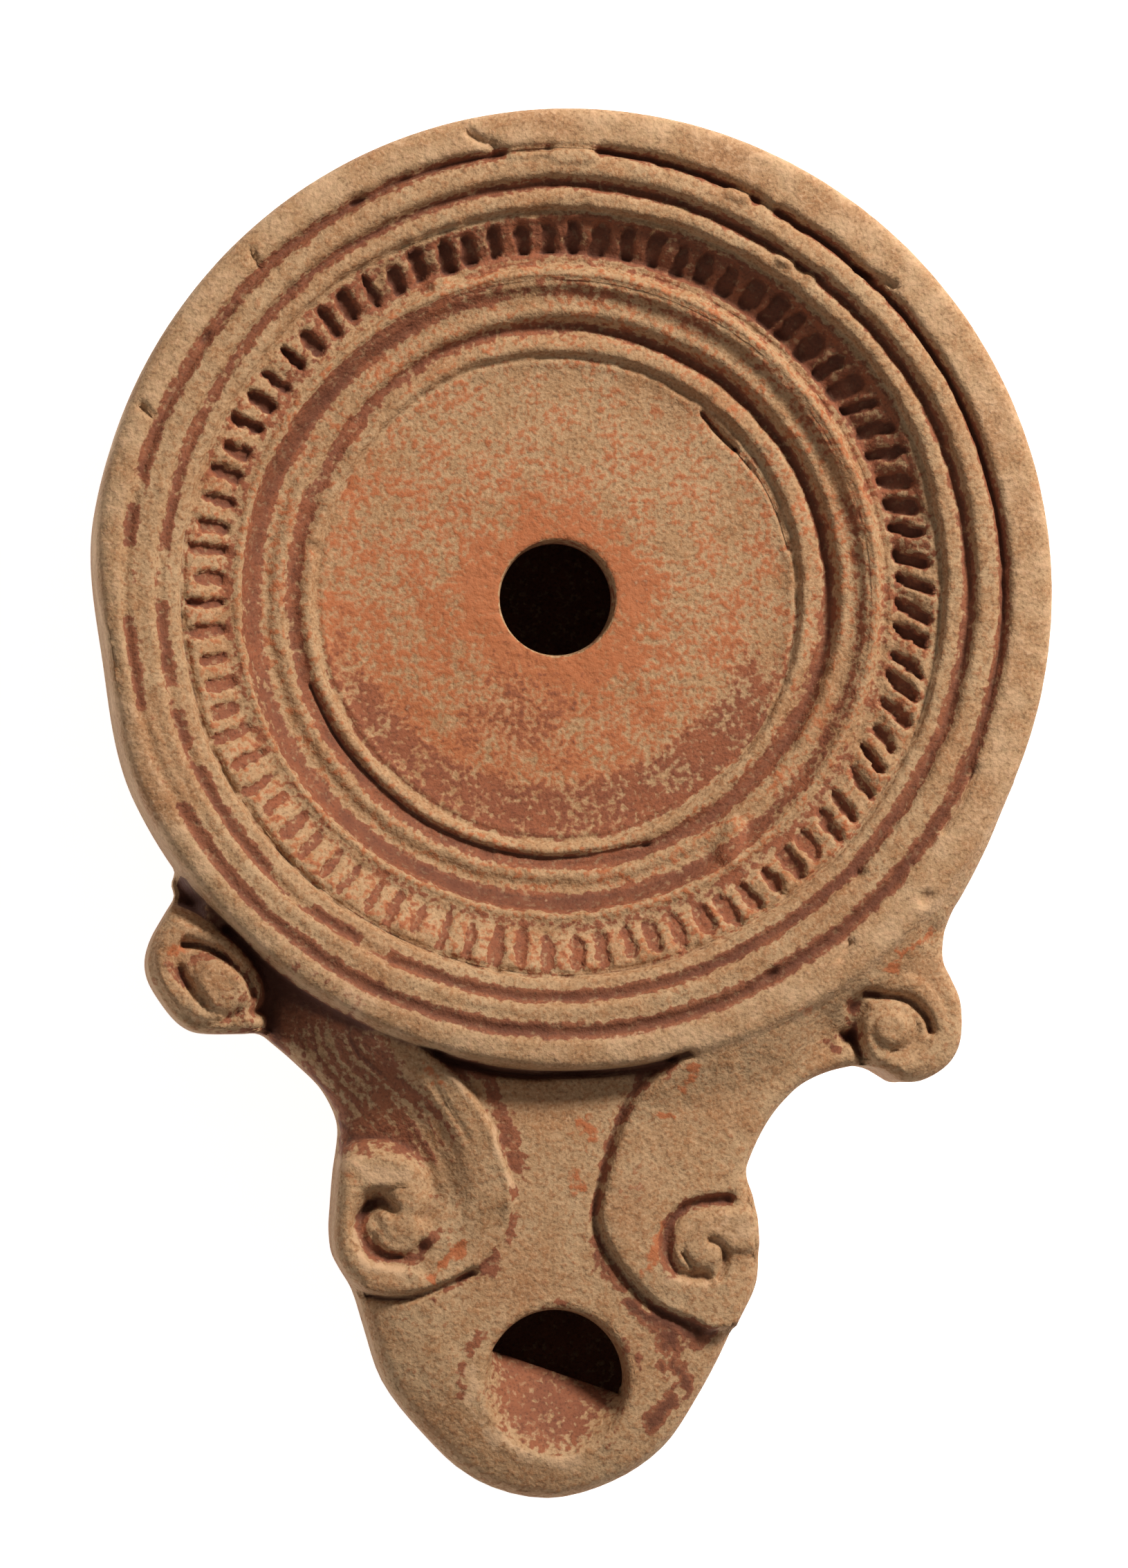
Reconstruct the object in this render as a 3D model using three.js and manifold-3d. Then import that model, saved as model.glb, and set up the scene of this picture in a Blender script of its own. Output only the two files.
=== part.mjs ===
// Roman oil lamp, mould-made terracotta: a round body with a ringed, sunken discus,
// a border of tongues, and a double-volute nozzle with a rounded tip.
// Millimetres, +Z up. The origin is the centre of the flat base, under the rings' centre.
// The nozzle points along -Y.

import * as THREE from 'three';
import { mergeVertices } from 'three/addons/utils/BufferGeometryUtils.js';
import Module from 'manifold-3d';

const wasm = await Module();
wasm.setup();

// Body
const baseRadius = 20.5;
const footHeight = 0.9;
const bodyRadius = 36.1;           // widest, at the seam between the two mould halves
const seamHeight = 16.5;
const flankShift = [0.9, 0.4];     // the flank stands off the rings' centre by this much
const shiftStart = 32.9;           // radius where that shift begins
const dent = { angle: 188, half: 18, depth: 0.8 };   // flattened stretch of the flank, in degrees
const roundSegments = 56;
const reservoirSegments = 32;

// Mouldings on top: crest radius, crest height and half width of each ring
const shoulder = { radius: 33.8, crest: 27 };
const outerRing = { radius: 31.1, crest: 26.8, half: 0.85 };
const secondRing = { radius: 28.85, crest: 26.1, half: 0.5 };
const innerRing = { radius: 23.9, crest: 24.1, half: 0.4 };
const lowRing = { radius: 20.9, crest: 22.2, half: 0.5 };
const discusRing = { radius: 18.9, crest: 22.1, half: 0.5 };
const crestShare = 0.35;           // flat part of a ring's crest, as a share of its width
const tongueBand = { outer: 27.9, outerHeight: 25.2, inner: 25, innerHeight: 23.7 };
const discusHeight = 21;

// Tongues
const tongueCount = 84;
const tongueRise = 0.55;
const tongueShare = 0.52;          // width of a tongue, as a share of its pitch
const tongueSink = 0.5;            // how far its root goes into the band

// Openings and walls
const fillingHoleRadius = 4.25;
const wickHole = { x: -0.3, y: -58.5, radius: 5.2 };
const holeSides = 32;
const floorHeight = 3.2;
const discusWall = 2.7;

// Ledge inside the wick hole: the bore ends at its upright edge, and its top slopes up to the hole's rim
const ledgeEdge = { x: -5.5, y: -56.2 };
const ledgeTurn = 71;              // degrees from +X to the way the edge faces
const ledgeHeight = 20.1;
const ledgeSlope = 0.55;

// Nozzle
const nozzleTop = 24;
const axisX = -0.75;
const tipCentreY = -55;            // the tip is round about this point of the axis
const keelHeight = 3;              // underside of the nozzle where it leaves the body
const keelStartY = -30;
const keelRise = 0.2;              // climb of the underside for each millimetre outwards
const boreScale = 0.78;            // the bore's outline against the nozzle's, leaving about 3 mm
const boreTop = 21;
const boreWall = 3;
const nozzleStations = 56;
const boreStations = 28;

// Plan of the nozzle, from the body along the left side, round the tip and back on the right
const leftSide = [
  [-18, -27], [-25.8, -22], [-25, -28], [-22.8, -32.6], [-20, -34.9], [-17.5, -37.4], [-16.5, -40],
  [-16.8, -43.2], [-17.1, -47.4], [-16.5, -50.4], [-15.1, -52.9], [-14.3, -55.8],
];
const tip = [
  [-12.9, -59.3], [-10.1, -62.8], [-6.3, -65.9], [-0.9, -67.5], [4, -66.3], [7.8, -63.7], [10.5, -60],
];
const rightSide = [
  [12.1, -56.3], [12.7, -54.8], [14.3, -51.7], [14.7, -48.8], [14.4, -45.5], [13.5, -43],
  [14.6, -39.9], [17.1, -37], [20.2, -35.2], [23.4, -33.8], [26.4, -29], [26.4, -22], [18, -27],
];

// Volutes: the rib that bounds each one towards the middle of the nozzle, its outer edge, the channel
// that runs from the small knob into the volute, the hollow of the flank, how deep those two go, the arm
// from body to knob, and the spirals cut in the volute's eye and in the knob (angles in degrees)
const voluteTop = 24.9;
const voluteRoot = 2;              // how far a volute's plate goes down into the nozzle
const volutes = [
  {
    rib: [
      [-14, -31.5], [-8.2, -36.2], [-4.9, -40.4], [-3.5, -45.4], [-5.4, -49.7], [-10, -52.5],
      [-14.9, -52.1],
    ],
    edge: [[-16.4, -50.2], [-17, -47.4], [-16.7, -43.2], [-16.4, -40.2], [-18.4, -35.6], [-21.5, -30.5]],
    channel: [[-23.4, -28.2], [-17.4, -33.9], [-11.6, -38.6], [-7.9, -43.4], [-7.6, -48.3], [-11.6, -50.9]],
    hollow: [[-25.2, -32.6], [-20.8, -36.6], [-17.3, -41.4], [-16.6, -45]],
    channelDepth: 1.7,
    hollowDepth: 5.2,
    arm: [[-25.8, -20.5], [-26.9, -27.5]],
    eye: { x: -12.7, y: -47, start: 75, sweep: -300, outer: 3.7, inner: 1.7 },
    knob: { x: -26.7, y: -28.6, radius: 4.1, start: 120, sweep: -400, outer: 2.9, inner: 0.8 },
  },
  {
    rib: [[12, -31.8], [6.2, -36.2], [3.7, -41], [2.6, -45.8], [4.5, -50.2], [8.1, -53.7], [12.3, -54.5]],
    edge: [[14.2, -51.6], [14.6, -48.8], [14.3, -45.6], [13.4, -43], [16.2, -38.2], [20.2, -32.8]],
    channel: [[21.6, -32], [15.8, -36.4], [10.4, -40.6], [6.6, -45], [5.9, -49.4], [8.8, -52.4]],
    hollow: [[24, -38.4], [18.8, -39.4], [15.6, -43.6], [15.3, -46]],
    channelDepth: 0.7,
    hollowDepth: 1.8,
    arm: [[26.2, -22], [25.3, -31]],
    eye: { x: 10.8, y: -48.4, start: 70, sweep: 320, outer: 3.2, inner: 1.6 },
    knob: { x: 25.2, y: -32.2, radius: 4.1, start: 160, sweep: -260, outer: 3, inner: 1.7 },
  },
];
const channelWidths = [0.5, 2.2, 3, 2.9, 2.2, 0.5];   // half widths, spread evenly along the channel
const hollowWidths = [1.5, 5, 4.6, 0.8];
const armWidths = [3.2, 2.9];
const armDepth = 4.6;
const armHeight = 20.2;
const knobTop = 25.2;
const knobSegments = 16;
const knobLean = 0.75;             // how far the knob's foot leans in for each millimetre below the seam
const grooveRadius = 0.5;
const holeFlare = 0.35;            // wear round the rim of each hole

const clay = new THREE.MeshStandardMaterial({ color: 0xb9835d, roughness: 0.92, metalness: 0 });

const radians = THREE.MathUtils.degToRad;
const smooth = THREE.MathUtils.smoothstep;

// Closed geometry to manifold solid: corners merged by position, collapsed triangles left out.
function solidFrom(geometry) {
  const bare = geometry.clone();
  bare.deleteAttribute('normal');
  bare.deleteAttribute('uv');
  const merged = mergeVertices(bare, 1e-5);
  const index = merged.index.array;
  const corners = [];
  for (let i = 0; i < index.length; i += 3) {
    const [a, b, c] = [index[i], index[i + 1], index[i + 2]];
    if (a !== b && b !== c && c !== a) corners.push(a, b, c);
  }
  const mesh = new wasm.Mesh({
    numProp: 3,
    vertProperties: new Float32Array(merged.attributes.position.array),
    triVerts: new Uint32Array(corners),
  });
  return new wasm.Manifold(mesh);
}

function geometryFrom(solid) {
  const mesh = solid.getMesh();
  const geometry = new THREE.BufferGeometry();
  geometry.setAttribute('position', new THREE.BufferAttribute(new Float32Array(mesh.vertProperties), 3));
  geometry.setIndex(new THREE.BufferAttribute(new Uint32Array(mesh.triVerts), 1));
  return geometry;
}

// A solid of revolution about Z from [radius, height] pairs that start and end on the axis.
// The pairs run from the foot of the axis outwards and up to its top.
function turned(profile, segments) {
  const points = profile.map(([radius, height]) => new THREE.Vector2(radius, height));
  const geometry = new THREE.LatheGeometry(points, segments);
  geometry.rotateX(Math.PI / 2);
  return geometry;
}

// Moves the flank off the rings' centre and presses in its flattened stretch.
function seatFlank(geometry) {
  const position = geometry.attributes.position;
  for (let i = 0; i < position.count; i += 1) {
    const x = position.getX(i);
    const y = position.getY(i);
    const radius = Math.hypot(x, y);
    const weight = smooth(radius, shiftStart, shoulder.radius);
    const turn = Math.abs(((Math.atan2(y, x) - radians(dent.angle) + 3 * Math.PI) % (2 * Math.PI)) - Math.PI);
    const press = dent.depth * (1 - smooth(turn, 0, radians(dent.half)));
    const scale = radius > 0 ? 1 - (press * weight) / radius : 1;
    position.setXY(i, x * scale + flankShift[0] * weight, y * scale + flankShift[1] * weight);
  }
  return geometry;
}

// The four corners of a ring's section, from its outer foot to its inner foot.
function ringSection(ring, outerFoot, innerFoot) {
  const flat = ring.half * crestShare;
  return [
    [ring.radius + ring.half, outerFoot],
    [ring.radius + flat, ring.crest],
    [ring.radius - flat, ring.crest],
    [ring.radius - ring.half, innerFoot],
  ];
}

// Outside of the body, from the middle of the base round the flank to the middle of the discus.
const bodyProfile = [
  [0, 0],
  [baseRadius, 0],
  [baseRadius + 0.5, footHeight],
  [26.8, 3.5],
  [31.6, 7.5],
  [34.8, 11.6],
  [bodyRadius, seamHeight],
  [bodyRadius - 0.1, 22.6],
  [bodyRadius - 0.75, 25.3],
  [shoulder.radius + 0.8, 26.6],
  [shoulder.radius, shoulder.crest],
  [33.1, 26.7],
  [32.7, 25.8],
  ...ringSection(outerRing, 25.8, 25.5),
  ...ringSection(secondRing, 25.4, 25.3),
  [tongueBand.outer, tongueBand.outerHeight],
  [tongueBand.inner, tongueBand.innerHeight],
  ...ringSection(innerRing, 23.2, 23.1),
  [22.5, 22],
  ...ringSection(lowRing, 21.6, 21.3),
  ...ringSection(discusRing, 21.2, 21.5),
  [0, discusHeight],
];

// The reservoir, a wall's thickness inside the body.
const reservoirProfile = [
  [0, floorHeight],
  [18.5, floorHeight],
  [25.4, 6],
  [31, 11.3],
  [33.3, 17],
  [33.1, 21.4],
  [31.4, 23.3],
  [28.4, 22.8],
  [24.8, 20.6],
  [21, discusHeight - discusWall + 0.4],
  [0, discusHeight - discusWall],
];

// One closed skin over a row of sections, all with the same number of points, each closed round and
// turning the same way; both ends are closed by a fan about their middle.
function skinOver(sections) {
  const count = sections[0].length;
  const vertices = sections.flat();
  const index = [];
  for (let level = 0; level + 1 < sections.length; level += 1) {
    for (let i = 0; i < count; i += 1) {
      const next = (i + 1) % count;
      const low = level * count;
      const high = low + count;
      index.push(low + i, low + next, high + next, low + i, high + next, high + i);
    }
  }
  const last = sections.length - 1;
  const ends = [[sections[0], 0, true], [sections[last], last * count, false]];
  for (const [section, first, reversed] of ends) {
    const middle = [0, 1, 2].map((axis) => section.reduce((sum, point) => sum + point[axis], 0) / count);
    vertices.push(middle);
    for (let i = 0; i < count; i += 1) {
      const pair = [first + i, first + (i + 1) % count];
      if (reversed) pair.reverse();
      index.push(...pair, vertices.length - 1);
    }
  }
  const geometry = new THREE.BufferGeometry();
  geometry.setAttribute('position', new THREE.Float32BufferAttribute(vertices.flat(), 3));
  geometry.setIndex(index);
  return geometry;
}

function curveThrough(points, height = 0, closed = false) {
  const knots = points.map(([x, y]) => new THREE.Vector3(x, y, height));
  return new THREE.CatmullRomCurve3(knots, closed, 'centripetal');
}

const nozzleOutline = curveThrough([...leftSide, ...tip, ...rightSide]);

// A point of the nozzle's plan drawn in towards the axis, or towards the tip's centre beyond it.
function drawnIn([x, y], scale) {
  const centreY = Math.max(y, tipCentreY);
  return [axisX + (x - axisX) * scale, centreY + (y - centreY) * scale];
}

// Height of the underside below the axis, climbing from the body to the tip.
function keel(y) {
  return keelHeight + Math.max(0, keelStartY - y) * keelRise;
}

// The nozzle's skin. The lower half is a quarter round from the keel to the seam at every station,
// the upper half stands nearly straight and rounds over to a flat top.
function nozzleSkin(stations, scale, keelLift, top, shoulderScales) {
  const plan = nozzleOutline.getSpacedPoints(stations).map(({ x, y }) => [x, y]);
  const levels = [];
  for (const angle of [70, 48, 24]) {
    const width = scale * Math.cos(radians(angle)) ** 0.8;
    const depth = Math.sin(radians(angle));
    levels.push(plan.map((point) => {
      const [x, y] = drawnIn(point, width);
      return [x, y, seamHeight - (seamHeight - keel(y) - keelLift) * depth];
    }));
  }
  const upper = [[seamHeight, 1], ...shoulderScales.map(([drop, share]) => [top - drop, share])];
  for (const [height, share] of upper) {
    levels.push(plan.map((point) => [...drawnIn(point, scale * share), height]));
  }
  return skinOver(levels);
}

// A bar of oval section along a level curve. The half widths are spread evenly along it, and the
// half depth follows the width down where the bar narrows.
function ovalBar(curve, widths, depth, sides, steps) {
  const widest = Math.max(...widths);
  const sections = [];
  for (let i = 0; i <= steps; i += 1) {
    const place = (i / steps) * (widths.length - 1);
    const before = Math.min(Math.floor(place), widths.length - 2);
    const width = THREE.MathUtils.lerp(widths[before], widths[before + 1], place - before);
    const high = depth * Math.sqrt(width / widest);
    const { x, y, z } = curve.getPointAt(i / steps);
    const along = curve.getTangentAt(i / steps);
    const section = [];
    for (let j = 0; j < sides; j += 1) {
      const angle = (2 * Math.PI * (j + 0.5)) / sides;
      const out = width * Math.cos(angle);
      section.push([x - along.y * out, y + along.x * out, z + high * Math.sin(angle)]);
    }
    sections.push(section);
  }
  return skinOver(sections);
}

// A spiral groove, winding in from the outer to the inner radius.
function spiralGroove({ x, y, start, sweep, outer, inner }, height) {
  const knotCount = 14;
  const knots = [];
  for (let i = 0; i <= knotCount; i += 1) {
    const angle = radians(start + (sweep * i) / knotCount);
    const radius = outer + ((inner - outer) * i) / knotCount;
    knots.push([x + radius * Math.cos(angle), y + radius * Math.sin(angle)]);
  }
  const widths = [0.3, 1, 1, 1, 0.4].map((share) => share * grooveRadius);
  return ovalBar(curveThrough(knots, height), widths, grooveRadius * 1.2, 5, 16);
}

// One raised volute plate, from inside the nozzle's top up to the volutes' height.
function volutePlate({ rib, edge }) {
  const ribPoints = curveThrough(rib).getPoints(22);
  const edgePoints = curveThrough(edge).getPoints(12);
  const shape = new THREE.Shape([...ribPoints, ...edgePoints].map(({ x, y }) => new THREE.Vector2(x, y)));
  const depth = voluteTop - nozzleTop + voluteRoot;
  const geometry = new THREE.ExtrudeGeometry(shape, { depth, bevelEnabled: false });
  geometry.translate(0, 0, nozzleTop - voluteRoot);
  return geometry;
}

// The small knob against the flank: upright and round-topped above the seam, leaning in below it.
function knobPost({ x, y, radius }) {
  const profile = [
    [0, 8],
    [1.8, 8.6],
    [3.6, 12.4],
    [radius, seamHeight],
    [radius, 23.6],
    [radius - 0.5, knobTop - 0.4],
    [radius - 1.3, knobTop],
    [0, knobTop],
  ];
  const geometry = turned(profile, knobSegments);
  const position = geometry.attributes.position;
  const reach = Math.hypot(x, y);
  for (let i = 0; i < position.count; i += 1) {
    const lean = (Math.max(0, seamHeight - position.getZ(i)) * knobLean) / reach;
    position.setXY(i, position.getX(i) + x * (1 - lean), position.getY(i) + y * (1 - lean));
  }
  return geometry;
}

// The border of tongues: short raised bars laid up the slope of their band.
function tongueBlocks() {
  const half = (Math.PI / tongueCount) * tongueShare;
  const ends = [
    [tongueBand.inner + 0.15, tongueBand.innerHeight, 0.6],
    [tongueBand.outer - 0.15, tongueBand.outerHeight, 1],
  ];
  const vertices = [];
  const index = [];
  for (let i = 0; i < tongueCount; i += 1) {
    const middle = (2 * Math.PI * i) / tongueCount;
    const first = vertices.length / 3;
    for (const [radius, height, rise] of ends) {
      for (const side of [-half, half]) {
        for (const level of [-tongueSink, tongueRise * rise]) {
          const angle = middle + side;
          vertices.push(radius * Math.cos(angle), radius * Math.sin(angle), height + level);
        }
      }
    }
    const faces = [[0, 1, 3, 2], [4, 6, 7, 5], [0, 4, 5, 1], [2, 3, 7, 6], [1, 5, 7, 3], [0, 2, 6, 4]];
    for (const [a, b, c, d] of faces) {
      index.push(first + a, first + b, first + c, first + a, first + c, first + d);
    }
  }
  const geometry = new THREE.BufferGeometry();
  geometry.setAttribute('position', new THREE.Float32BufferAttribute(vertices, 3));
  geometry.setIndex(index);
  return geometry;
}

// A round cutter for a hole that flares a little at the surface.
function holeCutter(x, y, radius, low, surface) {
  const profile = [
    [0, low],
    [radius, low],
    [radius, surface - holeFlare],
    [radius + 2 * holeFlare, surface + holeFlare],
    [radius + 2 * holeFlare, surface + 3],
    [0, surface + 3],
  ];
  const geometry = turned(profile, holeSides);
  geometry.translate(x, y, 0);
  return geometry;
}

// Outside form
let lamp = solidFrom(seatFlank(turned(bodyProfile, roundSegments)));
const topEdge = [[2.4, 1], [0.8, 0.985], [0, 0.94]];
lamp = lamp.add(solidFrom(nozzleSkin(nozzleStations, 1, 0, nozzleTop, topEdge)));
for (const volute of volutes) {
  const channel = curveThrough(volute.channel, voluteTop + 0.3);
  const hollow = curveThrough(volute.hollow, voluteTop + 0.6);
  lamp = lamp.add(solidFrom(volutePlate(volute)));
  lamp = lamp.subtract(solidFrom(ovalBar(channel, channelWidths, volute.channelDepth, 8, 12)));
  lamp = lamp.subtract(solidFrom(ovalBar(hollow, hollowWidths, volute.hollowDepth, 10, 8)));
  lamp = lamp.add(solidFrom(ovalBar(curveThrough(volute.arm, armHeight), armWidths, armDepth, 8, 2)));
  lamp = lamp.add(solidFrom(knobPost(volute.knob)));
  lamp = lamp.subtract(solidFrom(spiralGroove(volute.eye, voluteTop)));
  lamp = lamp.subtract(solidFrom(spiralGroove(volute.knob, knobTop)));
}
lamp = lamp.add(solidFrom(tongueBlocks()));

// Hollow inside, with the filling hole and the wick hole
const boreEdge = [[2, 1], [0, 0.86]];
const reservoir = solidFrom(seatFlank(turned(reservoirProfile, reservoirSegments)));
const bore = solidFrom(nozzleSkin(boreStations, boreScale, boreWall, boreTop, boreEdge));
const ledgeAngle = radians(ledgeTurn);
const facing = [Math.cos(ledgeAngle), Math.sin(ledgeAngle)];
const edgeDistance = ledgeEdge.x * facing[0] + ledgeEdge.y * facing[1];
lamp = lamp.subtract(reservoir.add(bore.trimByPlane([facing[0], facing[1], 0], edgeDistance)));
lamp = lamp.subtract(solidFrom(holeCutter(0, 0, fillingHoleRadius, 12, discusHeight)));
const steepness = Math.hypot(ledgeSlope, 1);
const slopeNormal = [facing[0] * ledgeSlope, facing[1] * ledgeSlope, 1].map((part) => part / steepness);
const slopeDistance = (edgeDistance * ledgeSlope + ledgeHeight) / steepness;
const wickCutter = solidFrom(holeCutter(wickHole.x, wickHole.y, wickHole.radius, 17, nozzleTop));
lamp = lamp.subtract(wickCutter.trimByPlane(slopeNormal, slopeDistance));

const body = new THREE.Mesh(geometryFrom(lamp), clay);
body.name = 'lamp_body';

const oilLamp = new THREE.Group();
oilLamp.add(body);

export default oilLamp;
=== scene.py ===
import bpy
import numpy as np
from mathutils import Matrix, Vector
from mathutils.geometry import delaunay_2d_cdt


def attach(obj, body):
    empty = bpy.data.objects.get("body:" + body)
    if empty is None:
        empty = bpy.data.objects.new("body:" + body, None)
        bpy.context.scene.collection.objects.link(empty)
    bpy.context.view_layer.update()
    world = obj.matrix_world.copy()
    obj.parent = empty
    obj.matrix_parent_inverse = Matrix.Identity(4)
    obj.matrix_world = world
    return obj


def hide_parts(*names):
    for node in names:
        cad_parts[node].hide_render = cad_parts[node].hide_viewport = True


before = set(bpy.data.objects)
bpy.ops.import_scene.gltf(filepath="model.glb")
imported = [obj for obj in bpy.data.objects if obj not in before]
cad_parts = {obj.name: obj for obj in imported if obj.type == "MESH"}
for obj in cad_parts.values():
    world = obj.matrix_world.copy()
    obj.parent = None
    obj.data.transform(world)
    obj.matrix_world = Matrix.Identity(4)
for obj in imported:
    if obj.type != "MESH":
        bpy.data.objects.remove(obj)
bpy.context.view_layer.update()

mm = 0.001   # every size below is in millimetres

# Camera, almost straight above the lamp and a little to its left
view = {"place": (-43, -34, 452), "target": (0.94, -13.8, 16.5), "lens": 132.6, "sensor": 36}


def addCamera(settings):
    # a camera at its place, with its target in the middle of the view and the lamp's back upwards
    place, target = Vector(settings["place"]), Vector(settings["target"])
    back = (place - target).normalized()
    right = Vector((0, 1, 0)).cross(back).normalized()
    turn = Matrix((right, back.cross(right), back)).transposed().to_4x4()
    camera = bpy.data.objects.new("camera", bpy.data.cameras.new("camera"))
    camera.matrix_world = Matrix.Translation(place * mm) @ turn
    camera.data.lens = settings["lens"]
    camera.data.sensor_width = settings["sensor"]
    camera.data.clip_start, camera.data.clip_end = 0.01, 20
    bpy.context.scene.collection.objects.link(camera)
    bpy.context.scene.camera = camera


addCamera(view)
print("camera ready")

# Studio: a pale floor, one large soft lamp at the upper right, a weak one opposite, and a pale sky
studio = {
    "floorSize": 6.0, "floorColour": (0.93, 0.93, 0.92), "floorGlow": 0.8,
    "keyPlace": (243, 278, 296), "keySize": 100, "keyPower": 3.05, "keyColour": (1.0, 0.98, 0.94),
    "fillPlace": (-300, -250, 300), "fillSize": 400, "fillPower": 0.2,
    "sky": (1.0, 1.0, 1.0), "skyStrength": 0.2,
}


def addLamp(name, place, size, power, colour=(1, 1, 1)):
    # a round soft light that faces the lamp
    data = bpy.data.lights.new(name, "AREA")
    data.shape = "DISK"
    data.size = size * mm
    data.energy = power
    data.color = colour
    lamp = bpy.data.objects.new(name, data)
    lamp.location = Vector(place) * mm
    aim = Vector((0, -15, 20)) * mm
    lamp.rotation_mode = "QUATERNION"
    lamp.rotation_quaternion = (aim - lamp.location).to_track_quat("-Z", "Y")
    bpy.context.scene.collection.objects.link(lamp)


def addStudio(settings):
    half = settings["floorSize"] / 2
    mesh = bpy.data.meshes.new("floor")
    corners = [(-half, -half, 0), (half, -half, 0), (half, half, 0), (-half, half, 0)]
    mesh.from_pydata(corners, [], [(0, 1, 2, 3)])
    floor = bpy.data.objects.new("floor", mesh)
    paper = bpy.data.materials.new("pale paper")
    paper.use_nodes = True
    shader = paper.node_tree.nodes["Principled BSDF"]
    shader.inputs["Base Color"].default_value = (*settings["floorColour"], 1)
    shader.inputs["Roughness"].default_value = 0.9
    shader.inputs["Emission Color"].default_value = (1, 1, 1, 1)
    shader.inputs["Emission Strength"].default_value = settings["floorGlow"]
    mesh.materials.append(paper)
    bpy.context.scene.collection.objects.link(floor)
    addLamp("key", settings["keyPlace"], settings["keySize"], settings["keyPower"], settings["keyColour"])
    addLamp("fill", settings["fillPlace"], settings["fillSize"], settings["fillPower"])
    world = bpy.data.worlds.new("sky")
    world.use_nodes = True
    background = world.node_tree.nodes["Background"]
    background.inputs["Color"].default_value = (*settings["sky"], 1)
    background.inputs["Strength"].default_value = settings["skyStrength"]
    bpy.context.scene.world = world
    bpy.context.scene.view_settings.view_transform = "Standard"


addStudio(studio)
print("studio ready")

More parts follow.
